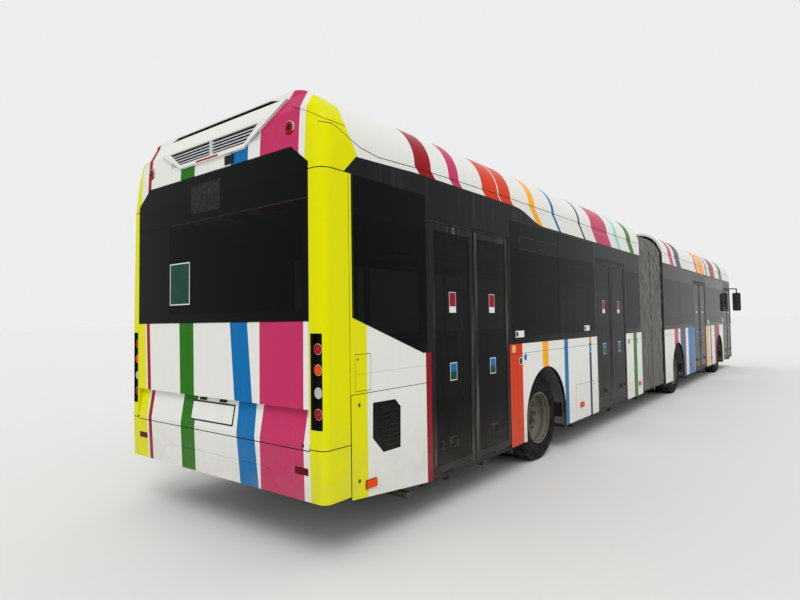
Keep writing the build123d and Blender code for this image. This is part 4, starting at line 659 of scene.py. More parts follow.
def wheel_finish(name, station, shades):
    """Tyre and painted rim of one axle, told apart by their distance from its line."""
    finish = Finish(name, specular_ior_level=0.1)
    x, y, z = finish.place()
    along, lift = x - at(station), z - TYRE_RADIUS
    radius = finish.reach(along, lift)
    turn = finish.maths("ARCTAN2", lift, along)
    rubber = radius > TYRE_BEAD
    tread = radius > TREAD_EDGE
    cloud = finish.noise(scale=12, detail=5)
    dust_and_sheen = finish.mix(finish.fade(cloud, 0.3, 0.8) * (0.1 + tread * 0.14), shades.rubber, shades.dust_and_sheen)
    steel = finish.mix(finish.fade(cloud, 0.35, 0.8) * 0.6 + 0.1, shades.rim, shades.dust_and_sheen)
    steel = finish.mix(radius < HUB_EDGE, steel, shades.chassis)
    finish.set(base_color=finish.mix(rubber, steel, dust_and_sheen), roughness=rubber * 0.3 + 0.5 + cloud * 0.1)
    ribs = finish.wave(radius * SIDEWALL_RIBS) * (radius < RIB_EDGE)
    swing = finish.wave(y * TREAD_WANDER) * TREAD_SWING
    blocks = finish.wave(turn * TREAD_BLOCKS + swing) > TREAD_CUT
    grooves = finish.maths("COSINE", y * TREAD_GROOVES) > GROOVE_CUT
    worn = finish.either(blocks, grooves) * tread
    relief = rubber * (ribs * RIB_RELIEF - worn * TREAD_RELIEF) + cloud * 0.2
    finish.bump(relief, strength=0.8, depth=0.003)
    return finish.material


def lamp_finish(shades):
    """Rear lamp clusters, high lamps and brake strip, each colour by its place."""
    finish = Finish("rear_lamps", specular_ior_level=0.06)
    x, y, z = finish.place()
    station, side = x - REAR, abs(y)
    low = z < CLUSTER_TOP
    tone = shades.dark_red
    nearest = OPEN
    for height, name in CLUSTER:
        lift = abs(z - height)
        nearest = finish.least(lift, nearest)
        tone = finish.mix(lift < CLUSTER_HALF_PITCH, tone, getattr(shades, name))
    aside = side - CLUSTER_MIDDLE
    reach = finish.reach(aside, nearest)
    rings = finish.wave(reach * LENS_RINGS)
    spokes = finish.wave(finish.maths("ARCTAN2", nearest, aside) * LENS_SPOKES)
    tone = finish.mix(finish.fade(reach, 0.02, 0.0, end=0.08), tone, shades.white)
    tone = finish.mix((reach > LENS_RADIUS) * low, tone, shades.lamp_clear)
    tone = finish.mix(finish.either(reach > LENS_RIM, station > LENS_DEPTH) * low, tone, shades.plastic)
    far = finish.reach(side - HIGH_LAMP[0], z - HIGH_LAMP[1])
    tone = finish.mix(finish.zone((x, side, z), HIGH_REFLECTOR), tone, shades.lamp_clear)
    tone = finish.mix(far < HIGH_LAMP_RADIUS, tone, shades.lamp_red)
    tone = finish.mix(far < HIGH_LAMP_BULB, tone, shades.plastic)
    finish.set(base_color=tone, roughness=0.12 + finish.noise(scale=30, detail=3) * 0.1)
    finish.bump(rings * 0.5 + spokes * 0.5, strength=0.5, depth=0.0008)
    return finish.material


def cloth_finish(shades):
    """Coated fabric of the bellows: painted shade in the fold valleys, faint creases and grime."""
    finish = Finish("bellows_fabric", sheen_weight=0.2)
    y, z = finish.place()[1:]
    across = finish.most(abs(y) - (CLOTH_HALF - SHOULDER), 0)
    above = finish.most(z - (CLOTH_TOP - SHOULDER), 0)
    inset = SHOULDER - finish.reach(across, above)
    cloud = finish.noise(scale=3.2, detail=6, stretch=(1, 1, 0.5))
    crease = finish.noise(scale=20, detail=5, stretch=(1.4, 1.4, 0.25))
    grime = finish.fade(cloud, 0.35, 0.75, end=0.3) + finish.fade(z, 1.2, 0.3, end=0.2)
    fabric = finish.mix(grime, shades.bellows, shades.chassis)
    # Painted shade: the cloth darkens inward from its outline, in the valleys of the folds
    fabric = finish.mix(finish.fade(inset, 0.006, 0.03, end=0.75), fabric, shades.chassis)
    finish.set(base_color=fabric, roughness=0.75 + cloud * 0.15)
    weave = finish.wave(z * CLOTH_WEAVE) * 0.05
    finish.bump(crease + cloud + weave, strength=0.8, depth=0.012)
    return finish.material


def floor_covering(shades):
    """Speckled floor covering, with black sealed steel under it and over the wheels."""
    finish = Finish("floor_covering")
    speckle = finish.fade(finish.noise(scale=420, detail=1), 0.62, 0.68)
    cloud = finish.noise(scale=2, detail=4)
    x, y, z = finish.place()
    arches = [finish.reach(x - at(axle), z - TYRE_RADIUS) < ARCH_REACH for axle in AXLES.values()]
    sealed = finish.either(z < FLOOR_UNDERSIDE, *arches)
    tone = finish.mix(speckle * 0.6, shades.flooring, shades.white)
    tone = finish.mix(cloud * 0.3, tone, shades.dust_and_sheen)
    finish.set(base_color=finish.mix(sealed, tone, shades.rubber), roughness=0.55 + cloud * 0.2)
    finish.bump(finish.noise(scale=300, detail=2), strength=0.4, depth=0.0004)
    return finish.material


def tread_plate(shades):
    """Black steel of the turntable with a raised pattern."""
    finish = Finish("tread_plate", metallic=0.6)
    x, y, z = finish.place()
    pattern = finish.wave((x + y) * TREAD_PLATE) * finish.wave((x - y) * TREAD_PLATE) > PLATE_CUT
    cloud = finish.noise(scale=9, detail=4)
    tone = finish.mix(pattern * 0.4, shades.chassis, shades.rim)
    finish.set(base_color=tone, roughness=0.4 + cloud * 0.25)
    finish.bump(pattern, strength=0.7, depth=0.0012)
    return finish.material


def headlamp_finish(shades):
    """Clear lenses over two round reflectors."""
    finish = Finish("headlamp_lens", coat_weight=0.3)
    y, z = finish.place()[1:]
    aside = finish.least(*[abs(abs(y) - middle) for middle in HEADLAMPS])
    reach = finish.reach(aside, z - HEADLAMP_HEIGHT)
    bowl = finish.mix(finish.fade(reach, 0.0, HEADLAMP_BOWL), shades.white, shades.rim)
    tone = finish.mix(reach > HEADLAMP_RADIUS, bowl, shades.plastic)
    metal = (reach < HEADLAMP_RADIUS) * 0.6
    finish.set(base_color=tone, metallic=metal, roughness=0.12 + finish.noise(scale=40, detail=2) * 0.06)
    finish.bump(finish.wave(reach * HEADLAMP_RINGS), strength=0.4, depth=0.0008)
    return finish.material


def stage_camera(sizes):
    """The camera at the photograph's viewing angle."""
    yaw, pitch, roll = sizes.camera_yaw, sizes.camera_pitch, sizes.camera_roll
    ahead = Vector((cos(pitch) * cos(yaw), cos(pitch) * sin(yaw), sin(pitch)))
    level = ahead.cross(Vector((0, 0, 1))).normalized()
    upright = level.cross(ahead)
    right = cos(roll) * level + sin(roll) * upright
    up = cos(roll) * upright - sin(roll) * level
    turned = Matrix((right, up, -ahead)).transposed().to_4x4()
    place = Matrix.Translation((at(-sizes.camera_back), -sizes.camera_aside, sizes.camera_height))
    data = bpy.data.cameras.new("camera")
    data.lens = sizes.lens
    data.clip_end = VIEW_REACH
    camera = bpy.data.objects.new("camera", data)
    camera.matrix_world = place @ turned
    bpy.context.scene.collection.objects.link(camera)
    bpy.context.scene.camera = camera


def stage_lamp(name, energy, spread, tilt, lean, turn):
    """A soft sun, with its spread and its three turns in degrees."""
    sun = bpy.data.lights.new(name, "SUN")
    sun.energy = energy
    sun.angle = radians(spread)
    lamp = bpy.data.objects.new(name, sun)
    lamp.rotation_euler = (radians(tilt), radians(lean), radians(turn))
    bpy.context.scene.collection.objects.link(lamp)


class BUS_OT_set_stage(bpy.types.Operator):
    """Set up the floor, the lights and the camera"""

    bl_idname = "bus.set_stage"
    bl_label = "Stage"

    def execute(self, context):
        stage_camera(context.scene.bus_sizes)
        mesh = bpy.data.meshes.new("floor")
        shape = bmesh.new()
        bmesh.ops.create_grid(shape, x_segments=1, y_segments=1, size=FLOOR_REACH)
        shape.to_mesh(mesh)
        floor = bpy.data.objects.new("floor", mesh)
        context.scene.collection.objects.link(floor)
        mesh.materials.append(Finish("floor", base_color=FLOOR_TONE, roughness=0.8).material)
        world = bpy.data.worlds.new("studio")
        context.scene.world = world
        world.use_nodes = True
        background = world.node_tree.nodes["Background"]
        background.inputs["Color"].default_value = (1, 1, 1, 1)
        background.inputs["Strength"].default_value = WORLD_STRENGTH
        stage_lamp("key", energy=1.2, spread=30, tilt=38, lean=-12, turn=-35)
        context.scene.view_settings.view_transform = "Standard"
        return {"FINISHED"}


# Plain finishes: name, tone, roughness, metallic, grain in features a metre, relief in millimetres, wear
FINISH_ROWS = (
    ("frame_metal", "rim", 0.45, 0.5, 160, 0.1, 0.3),
    ("door_posts", "chassis", 0.35, 0.6, 180, 0.05, 0.08),
    ("underframe_paint", "chassis", 0.6, 0.2, 60, 0.5, 0.45),
    ("axle_iron", "chassis", 0.65, 0.4, 45, 0.9, 0.5),
    ("engine_iron", "iron", 0.6, 0.5, 40, 1.2, 0.3),
    ("seat_shells", "seat", 0.45, 0, 300, 0.15, 0.08),
    ("grab_poles", "pole", 0.35, 0, 220, 0.05, 0.06),
    ("cab_plastic", "plastic", 0.6, 0, 420, 0.2, 0.1),
    ("mirror_shell", "plastic", 0.4, 0, 300, 0.1, 0.15),
    ("trim_plastic", "plastic", 0.45, 0, 260, 0.1, 0.12),
    ("rubber_seal", "rubber", 0.7, 0, 200, 0.2, 0.2),
    ("rim_line", "chassis", 0.3, 0, 200, 0.1, 0.5),
    ("white_plate", "white", 0.35, 0, 90, 0.05, 0.12),
    ("bright_steel", "rim", 0.28, 0.9, 120, 0.1, 0.2),
    ("marker_amber", "lamp_amber", 0.15, 0, 300, 0.2, 0.03),
    ("sign_green", "sign_green", 0.4, 0, 90, 0.05, 0.05),
    ("sign_yellow", "amber", 0.4, 0, 90, 0.05, 0.05),
    ("sign_blue", "blue", 0.4, 0, 90, 0.05, 0.05),
    ("sign_red", "dark_red", 0.4, 0, 90, 0.05, 0.05),
    ("red_reflector", "reflector", 0.15, 0, 300, 0.2, 0.03),
    ("lamp_diffuser", "white", 0.5, 0, 90, 0.05, 0.02),
    ("mirror_glass", "rim", 0.03, 1, 4, 0.3, 0.02),
)


def find(name):
    """A finish that has been made."""
    return bpy.data.materials[name]


def touch(start, along):
    """Where a straight line first meets the model."""
    start, along = Vector(start), Vector(along)
    hits = []
    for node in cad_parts.values():
        if not node.hide_render:
            met, point, _, _ = node.ray_cast(start, along)
            if met:
                hits.append(point)
    return min(hits, key=lambda point: (point - start).length)


def rear_face(y, z):
    """X of the rear surface at a width and height."""
    return touch((CAD_LOW.x - CLEAR, y, z), (1, 0, 0)).x


def right_face(station, z):
    """Y of the right surface at a station and height."""
    return touch((at(station), CAD_LOW.y - CLEAR, z), (0, 1, 0)).y


def front_face(y, z):
    """Point of the front surface at a width and height."""
    return touch((CAD_HIGH.x + CLEAR, y, z), (-1, 0, 0))


def about(middle, half):
    """Two limits about a middle."""
    return (middle - half, middle + half)


def on_circle(centre, radius, turn):
    """A point on an upright circle round a point, in X and Z."""
    return (centre[0] + radius * cos(turn), centre[1], centre[2] + radius * sin(turn))


class Piece:
    """A mesh in the making, of simple solids in metres, each with one of the piece's finishes."""

    def __init__(self, name, *finishes):
        self.name = name
        self.finishes = finishes
        self.shape = bmesh.new()

    def face(self, corners, finish):
        """One face."""
        self.shape.faces.new(corners).material_index = finish

    def prism(self, outline, run, finish=0):
        """An outline of points, carried along a run."""
        near = [self.shape.verts.new(point) for point in outline]
        far = [self.shape.verts.new(Vector(point) + Vector(run)) for point in outline]
        self.face(near, finish)
        self.face(far[::-1], finish)
        for number, corner in enumerate(near):
            self.face((corner, near[number - 1], far[number - 1], far[number]), finish)

    def box(self, x, y, z, finish=0):
        """A box between two limits on each axis."""
        outline = ((x[0], y[0], z[0]), (x[1], y[0], z[0]), (x[1], y[1], z[0]), (x[0], y[1], z[0]))
        self.prism(outline, (0, 0, z[1] - z[0]), finish)

    def turned(self, profile, centre, along, sides=24, finish=0):
        """An outline of radii and heights, turned about a line."""
        spin = Vector((0, 0, 1)).rotation_difference(Vector(along)).to_matrix()
        rings = []
        for radius, height in profile:
            ring = []
            for number in range(sides):
                turn = 2 * pi * number / sides
                spot = spin @ Vector((radius * cos(turn), radius * sin(turn), height))
                ring.append(self.shape.verts.new(spot + Vector(centre)))
            rings.append(ring)
        for before, ring in zip(rings, rings[1:]):
            for side in range(sides):
                self.face((before[side - 1], before[side], ring[side], ring[side - 1]), finish)
        if profile[0] == profile[-1]:
            bmesh.ops.remove_doubles(self.shape, verts=rings[0] + rings[-1], dist=MERGE_DISTANCE)
        else:
            self.face(rings[0], finish)
            self.face(rings[-1][::-1], finish)

    def rod(self, start, end, radius, finish=0, sides=16):
        """A round rod between two points."""
        along = Vector(end) - Vector(start)
        self.turned(((radius, 0), (radius, along.length)), start, along.normalized(), sides, finish)

    def made(self, slot, bevel=0):
        """The object, with its edges rounded where a width is given."""
        bmesh.ops.recalc_face_normals(self.shape, faces=self.shape.faces)
        mesh = bpy.data.meshes.new(self.name)
        self.shape.to_mesh(mesh)
        self.shape.free()
        for finish in self.finishes:
            mesh.materials.append(find(finish))
        made = bpy.data.objects.new(self.name, mesh)
        bpy.context.scene.collection.objects.link(made)
        if bevel:
            edge = made.modifiers.new("rounded_edges", "BEVEL")
            edge.width = bevel
            edge.segments = 2
            edge.limit_method = "ANGLE"
        mesh.shade_smooth()
        mesh.set_sharp_from_angle(angle=SHARP_ANGLE)
        return made

    def placed(self, body, slot, bevel=0):
        """Make the object and seat it on its body."""
        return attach(self.made(slot, bevel), body)

    def on_rear(self, y, z, proud, finish=0):
        """A thin plate on the rear face."""
        middle = (y[0] + y[1]) / 2
        low, high = rear_face(middle, z[0]), rear_face(middle, z[1])
        outline = ((low + BED, z[0]), (high + BED, z[1]), (high - proud, z[1]), (low - proud, z[0]))
        self.prism([(x, y[0], height) for x, height in outline], (0, y[1] - y[0], 0), finish)

    def on_right(self, stations, z, proud, finish=0):
        """A thin plate on the right side."""
        face = right_face((stations[0] + stations[1]) / 2, (z[0] + z[1]) / 2)
        self.box([at(station) for station in stations], (face - proud, face + BED), z, finish)

    def stud(self, station, z, radius, proud, finish=0):
        """A round head on the right side, drawn in at its edge."""
        centre = (at(station), right_face(station, z) + BED, z)
        profile = ((radius, 0), (radius, BED + proud * HEAD_EDGE), (radius * HEAD_TOP, BED + proud))
        self.turned(profile, centre, (0, -1, 0), sides=20, finish=finish)


def hoop_points(half, bottom, top, radius, steps):
    """Points and inward directions round an upturned U, from its right foot over to its left one."""
    path = []
    rise = top - radius - bottom
    for number in range(steps):
        path.append((-half, bottom + rise * number / steps, 1, 0))
    for number in range(steps // 2):
        turn = pi / 2 * number / (steps // 2)
        y, z = -half + radius * (1 - cos(turn)), top - radius + radius * sin(turn)
        path.append((y, z, cos(turn), -sin(turn)))
    for number in range(steps):
        path.append(((-half + radius) * (1 - number / steps), top, 0, -1))
    path.append((0, top, 0, -1))
    return path + [(-y, z, -inward, down) for y, z, inward, down in reversed(path[:-1])]


class BUS_OT_paint_bodywork(bpy.types.Operator):
    """Give every piece of the model its finish"""

    bl_idname = "bus.paint_bodywork"
    bl_label = "Finishes"

    def execute(self, context):
        shades, sizes = context.scene.bus_colours, context.scene.bus_sizes
        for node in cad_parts.values():
            node.data.materials.clear()
        for packed in [material for material in bpy.data.materials if not material.users]:
            bpy.data.materials.remove(packed)
        for name, tone, roughness, metallic, grain, relief, wear in FINISH_ROWS:
            plain(name, shades, tone, roughness, grain, relief, metallic, wear)
        for make in (body_paint, tinted_glass, leaf_finish):
            make(shades, sizes)
        for make in (lamp_finish, cloth_finish, floor_covering, tread_plate, headlamp_finish):
            make(shades)
        for name, station in AXLES.items():
            wheel_finish(f"{name}_tyres", station, shades)
        for name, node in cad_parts.items():
            node.data.materials.append(find(node_finish(name)))
            node.data.shade_smooth()
            node.data.set_sharp_from_angle(angle=SHARP_ANGLE)
            if name.endswith("seats_and_poles"):
                self.mark_poles(node)
        return {"FINISHED"}

    def mark_poles(self, node):
        """Give the poles and rails among the seats their own finish."""
        node.data.materials.append(find("grab_poles"))
        for polygon in node.data.polygons:
            x, y, z = polygon.center
            for line, stations in GRAB_POLES:
                upright = any(hypot(x - at(station), y - line) < POLE_REACH for station in stations)
                if upright or hypot(y - line, z - HANDRAIL) < POLE_REACH:
                    polygon.material_index = 1


# Finish of each piece of the model, by the end of the piece's name
NODE_FINISHES = (
    ("body_paint", ("roof", "wall", "mask", "end_panel", "lid", "hatch")),
    ("tinted_glass", ("windscreen", "side_glass", "rear_window")),
    ("door_leaf", ("leaf",)),
    ("door_posts", ("post",)),
    ("front_tyres", ("front_left_wheel", "front_right_wheel")),
    ("middle_tyres", ("middle_left_wheel", "middle_right_wheel")),
    ("rear_tyres", ("rear_left_wheel", "rear_right_wheel")),
    ("bellows_fabric", ("bellows",)),
    ("rubber_seal", ("front_gangway_frame",)),
    ("frame_metal", ("rear_gangway_frame", "hoop")),
    ("tread_plate", ("turntable",)),
    ("floor_covering", ("floor",)),
    ("underframe_paint", ("underframe",)),
    ("axle_iron", ("axle", "knuckle", "tie_rod")),
    ("engine_iron", ("engine",)),
    ("seat_shells", ("seats_and_poles",)),
    ("cab_plastic", ("cab",)),
    ("rear_lamps", ("tail_lamps",)),
    ("headlamp_lens", ("headlamps",)),
    ("mirror_shell", ("mirrors",)),
)

# Grab poles: width of each row with its stations, height of the handrails, and how near is on a pole
GRAB_POLES = ((0.3, LEFT_POLES), (-0.43, RIGHT_POLES))
HANDRAIL = 1.96
POLE_REACH = 0.0175


def node_finish(node):
    """Name of the finish that a piece of the model takes."""
    return next(name for name, endings in NODE_FINISHES if node.endswith(endings))


class BUS_OT_pleat_bellows(bpy.types.Operator):
    """Make the two pleated bellows of the gangway"""

    bl_idname = "bus.pleat_bellows"
    bl_label = "Bellows"

    def execute(self, context):
        for name in ("rear", "front"):
            self.pleat(name, context.scene.bus_sizes)
        return {"FINISHED"}

    def pleat(self, name, sizes):
        """One bellows, from the centre hoop to the frame of a section."""
        low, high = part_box(f"{name}_bellows")
        piece = Piece(f"{name}_gangway_bellows", "bellows_fabric")
        half, top = CLOTH_HALF - CLOTH_INSET, CLOTH_TOP - 2 * CLOTH_INSET
        path = hoop_points(half, low.z, top, SHOULDER, PATH_STEPS)
        rows = PLEATS * PLEAT_STEPS
        grid = []
        for row in range(rows + 1):
            phase = row / PLEAT_STEPS
            fold = 1 - abs(sin(pi * phase)) ** FOLD_SHARPNESS
            pleat = int(phase + 0.5)
            clamp = min(1, row / 2, (rows - row) / 2)
            line = []
            for step, (y, z, inward, down) in enumerate(path):
                loose = LOW_SWAY + (1 - LOW_SWAY) * min(1, max(0, z - LOOSE_HEIGHT))
                sway = loose * sum(part * sin(step * along + pleat * on) for part, along, on in SWAYS)
                x = low.x + (high.x - low.x) * row / rows + clamp * sizes.pleat_wander * sway
                crumple = 1 + sin(step * CRUMPLE_WAVE[0] + pleat * CRUMPLE_WAVE[1])
                dip = sizes.pleat_depth * fold + CRUMPLE * clamp * crumple
                x = min(max(x, low.x), high.x)
                line.append(piece.shape.verts.new((x, y + inward * dip, z + down * dip)))
            grid.append(line)
        for before, after in zip(grid, grid[1:]):
            for step in range(len(path) - 1):
                piece.face((before[step], before[step + 1], after[step + 1], after[step]), 0)
        cover = piece.made("bellows_fabric")
        skin = cover.modifiers.new("cloth", "SOLIDIFY")
        skin.thickness = CLOTH_THICKNESS
        skin.offset = -1
        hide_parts(f"{name}_bellows")
        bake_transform(cover)


# Plates of the rear face, each its width, its heights, how far it stands proud and its finish
NUMBER_PLATE = (
    ((-0.282, 0.292), (0.838, 0.997), 0.003, 0), ((-0.27, 0.28), (0.85, 0.985), 0.0055, 1),
)
REFLECTOR = ((0.99, 1.12), (0.602, 0.65), 0.003)
WINDOW_SIGN = (
    ((0.295, 0.602), (1.776, 2.13), 0.0003, 0), ((0.304, 0.593), (1.785, 2.121), 0.0006, 1),
)

# Lamps over the plate: their middles; and for shell and diffuser the stations, half width, heights, finish
PLATE_LAMPS = (-0.13, 0.14)
PLATE_LAMP_PARTS = (((0.018, 0.04), 0.035, (1.006, 1.026), 0), ((0.02, 0.038), 0.026, (1.004, 1.008), 2))


class BUS_OT_fit_rear_trim(bpy.types.Operator):
    """Fit the blank plate, its lamps, the reflectors and the sign of the rear face"""

    bl_idname = "bus.fit_rear_trim"
    bl_label = "Rear trim"

    def execute(self, context):
        plate = Piece("rear_number_plate", "trim_plastic", "white_plate", "lamp_diffuser")
        for row in NUMBER_PLATE:
            plate.on_rear(*row)
        for middle in PLATE_LAMPS:
            for stations, half, z, finish in PLATE_LAMP_PARTS:
                plate.box([at(station) for station in stations], about(middle, half), z, finish)
        plate.placed("engine_lid", "body_paint", bevel=0.0012)
        reflectors = Piece("rear_reflectors", "red_reflector")
        widths, heights, proud = REFLECTOR
        for side in (-1, 1):
            reflectors.on_rear(sorted(side * edge for edge in widths), heights, proud)
        reflectors.placed("rear_section", "lamp_lens", bevel=0.001)
        sign = Piece("rear_window_sign", "white_plate", "sign_green")
        for row in WINDOW_SIGN:
            sign.on_rear(*row)
        sign.placed("rear_section", "tinted_glass")
        return {"FINISHED"}


class BUS_OT_fit_side_trim(bpy.types.Operator):
    """Fit the side markers, locks, stickers, the grille mesh and the hopper window"""

    bl_idname = "bus.fit_side_trim"
    bl_label = "Side trim"

    def execute(self, context):
        for body, stations in SIDE_MARKERS:
            markers = Piece(f"{body}_side_markers", "trim_plastic", "marker_amber")
            for side, station, height in stations:
                face = side * (HALF_WIDTH - MARKER_BED)
                for finish, half, rise, proud in MARKER_PARTS:
                    x = [at(edge) for edge in about(station, half)]
                    markers.box(x, sorted((face, face + side * proud)), about(height, rise), finish)
            markers.placed(body, "lamp_lens", bevel=MARKER_ROUND)
        for body, studs in RIGHT_LOCKS:
            locks = Piece(f"{body}_locks", "trim_plastic", "bright_steel")
            for station, height, radius in studs:
                for finish, (part, proud) in enumerate(LOCK_PARTS):
                    locks.stud(station, height, radius * part, proud, finish)
            locks.placed(body, "body_paint")
        for body, stickers in RIGHT_STICKERS:
            sheet = Piece(f"{body}_stickers", "white_plate", "sign_yellow", "sign_blue", "sign_green")
            for station, z, half, rise, finish in stickers:
                if finish:
                    for (part, proud), tone in zip(DISC_PARTS, (0, finish)):
                        sheet.stud(station, z, half * part, proud, tone)
                else:
                    part, proud = OBLONG_SPOT
                    sheet.on_right(about(station, half), about(z, rise), OBLONG_PROUD)
                    sheet.stud(station - half + rise, z, rise * part, proud, 3)
            sheet.placed(body, "body_paint")
        self.mesh_grille()
        hopper = Piece("hopper_frame", "trim_plastic")
        for z in HOPPER_RAILS:
            hopper.on_right(HOPPER, z, HOPPER_PROUD)
        heights = (HOPPER_RAILS[0][0], HOPPER_RAILS[1][1])
        for edge in HOPPER:
            hopper.on_right(about(edge, HOPPER_STILE), heights, HOPPER_PROUD)
        hopper.on_right((HOPPER[0] + CATCH_INSET, HOPPER[1] - CATCH_INSET), *HOPPER_CATCH)
        hopper.placed("rear_section", "dark_frame", bevel=0.0008)
        return {"FINISHED"}

    def mesh_grille(self):
        """Upright blades in the slant-cornered opening of the hatch."""
        mesh = Piece("hatch_grille_mesh", "trim_plastic")
        face = BLADE_DEPTH - HALF_WIDTH
        for number in range(BLADES):
            station = BLADE_START + number * BLADE_PITCH
            low = BLADE_LOW if station > BLADE_STEP else BLADE_REAR_LOW - number * BLADE_REAR_FALL
            high = BLADE_HIGH - max(0, station - BLADE_SLANT) * BLADE_SLOPE
            x = (at(station), at(station + BLADE_WIDTH))
            mesh.box(x, [face + edge for edge in BLADE_EDGES], (low, high))
        mesh.placed("right_hatch", "body_paint")


# Side markers: side, -1 for the right, station and height
SIDE_MARKERS = (
    ("rear_section", ((-1, 4.6, 0.494), (-1, 7.3, 0.5), (1, 4.6, 0.494), (1, 7.3, 0.5), (1, 1.6, 0.494))),
    ("front_section", (
        (-1, 11.6, 0.494), (-1, 14.25, 0.494), (1, 11.6, 0.494), (1, 14.25, 0.494), (1, 16.8, 0.494),
    )),
    ("right_hatch", ((-1, 0.453, 0.475),)),
)

# Bed and lens of a marker: finish, half length, half height and how far it stands proud
MARKER_PARTS = ((0, 0.058, 0.032, 0.004), (1, 0.052, 0.026, 0.018))
MARKER_BED = 0.001
MARKER_ROUND = 0.007

# Stickers of the right side: station, height, half length or radius, half rise and finish, 0 for an oblong
RIGHT_STICKERS = (
    ("rear_section", (
        (2.85, 1.457, 0.1, 0.035, 0), (4.856, 1.479, 0.1, 0.035, 0), (2.704, 1.307, 0.04, 0, 1),
        (2.969, 1.208, 0.042, 0, 2), (2.859, 1.173, 0.042, 0, 3), (4.939, 1.316, 0.04, 0, 1),
        (4.968, 1.193, 0.042, 0, 2), (6.75, 1.22, 0.045, 0, 3), (7.208, 1.197, 0.045, 0, 2),
    )),
    ("front_section", ((13.886, 1.451, 0.1, 0.045, 0), (16.249, 1.482, 0.1, 0.045, 0))),
)
DISC_PARTS = ((1, 0.0004), (0.85, 0.0008))
OBLONG_PROUD = 0.0005
OBLONG_SPOT = (0.8, 0.0009)

# Locks of the right side: station, height and radius; and for rim and core the share of it, and how proud
RIGHT_LOCKS = (
    ("right_hatch", ((0.339, 1.037, 0.013), (0.333, 0.518, 0.013))),
    ("rear_section", ((0.33, 1.352, 0.008), (4.43, 0.72, 0.009), (5.06, 0.72, 0.009))),
)
LOCK_PARTS = ((1, 0.002), (0.45, 0.0035))

# Blades of the hatch's grille
BLADES = 15
BLADE_START = 0.5
BLADE_PITCH = 0.02
BLADE_WIDTH = 0.004
BLADE_DEPTH = 0.0085
BLADE_EDGES = (-0.001, 0.003)
BLADE_STEP = 0.594
BLADE_LOW = 0.668
BLADE_REAR_LOW = 0.79
BLADE_REAR_FALL = 0.0055
BLADE_HIGH = 1.03
BLADE_SLANT = 0.738
BLADE_SLOPE = 0.95

# Hopper window: its stations, the heights of its rails, and its catch
HOPPER = (2.885, 3.965)
HOPPER_RAILS = ((2.352, 2.366), (2.488, 2.502))
HOPPER_STILE = 0.007
HOPPER_PROUD = 0.0015
HOPPER_CATCH = ((2.38, 2.4), 0.006)
CATCH_INSET = 0.45


class BUS_OT_fit_wheels(bpy.types.Operator):
    """Fit the wheel nuts and hub caps, and the dished discs of the twin wheels"""

    bl_idname = "bus.fit_wheels"
    bl_label = "Wheel nuts and hub caps"

    def execute(self, context):
        for name, station in AXLES.items():
            for hand, side in (("right", -1), ("left", 1)):
                self.dress(f"{name}_{hand}_wheel", station, side, context.scene.bus_sizes.nut_circle)
        return {"FINISHED"}

    def dress(self, body, station, side, nut_circle):
        """Nuts and cap of one wheel, and the dished disc of an outer twin."""
        fittings = Piece(f"{body}_fittings", "frame_metal", "bright_steel", "axle_iron")
        steered = body.startswith("front")
        if steered:
            seat = self.wheel_face((at(station), 0, TYRE_RADIUS), side)
        else:
            seat = side * (TWIN_FACE - DISH_DEPTH)
            self.dish(body, (at(station), side * TWIN_FACE, TYRE_RADIUS), side)
        outward = (0, side, 0)
        centre = (at(station), seat - side * BED, TYRE_RADIUS)
        for number in range(NUTS):
            spot = on_circle(centre, nut_circle, 2 * pi * (number + NUT_START) / NUTS)
            if steered:
                spot = (spot[0], self.wheel_face(spot, side) - side * BED, spot[2])
            for profile, sides, finish in NUT_PARTS:
                fittings.turned(profile, spot, outward, sides, finish)
        fittings.turned(CAP_PROFILE if steered else HUB_PROFILE, centre, outward, sides=48, finish=2)
        for number in range(CAP_SCREWS):
            spot = on_circle(centre, CAP_SCREW_CIRCLE, 2 * pi * number / CAP_SCREWS)
            fittings.turned(CAP_SCREW, spot, outward, sides=6, finish=1)
        fittings.placed(body, "tyre")

    def wheel_face(self, spot, side):
        """Y of the wheel's outside at a point's X and Z."""
        return touch((spot[0], side * (HALF_WIDTH + CLEAR), spot[2]), (0, -side, 0)).y

    def dish(self, body, centre, side):
        """The dished disc, with its hand holes cut through."""
        disc = Piece(f"{body}_dish", f"{body.split('_')[0]}_tyres", "frame_metal")
        disc.turned(DISH_PROFILE, centre, (0, side, 0), sides=DISH_SIDES)
        for profile in RIM_PROFILES:
            disc.turned(profile, centre, (0, side, 0), sides=DISH_SIDES, finish=1)
        disc = disc.made("tyre")
        cutter = Piece("hand_holes")
        for number in range(HAND_HOLES):
            x, y, z = on_circle(centre, HAND_HOLE_CIRCLE, 2 * pi * number / HAND_HOLES)
            cutter.turned(HAND_HOLE, (x, y - side * HAND_HOLE[1][1], z), (0, side, 0))
        cutter = cutter.made("tyre")
        cut = disc.modifiers.new("hand_holes", "BOOLEAN")
        cut.operation = "DIFFERENCE"
        cut.object = cutter
        bpy.context.view_layer.update()
        depsgraph = bpy.context.evaluated_depsgraph_get()
        shaped = bpy.data.meshes.new_from_object(disc.evaluated_get(depsgraph))
        disc.modifiers.clear()
        disc.data = shaped
        shaped.set_sharp_from_angle(angle=SHARP_ANGLE)
        bpy.data.objects.remove(cutter)
        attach(disc, body)


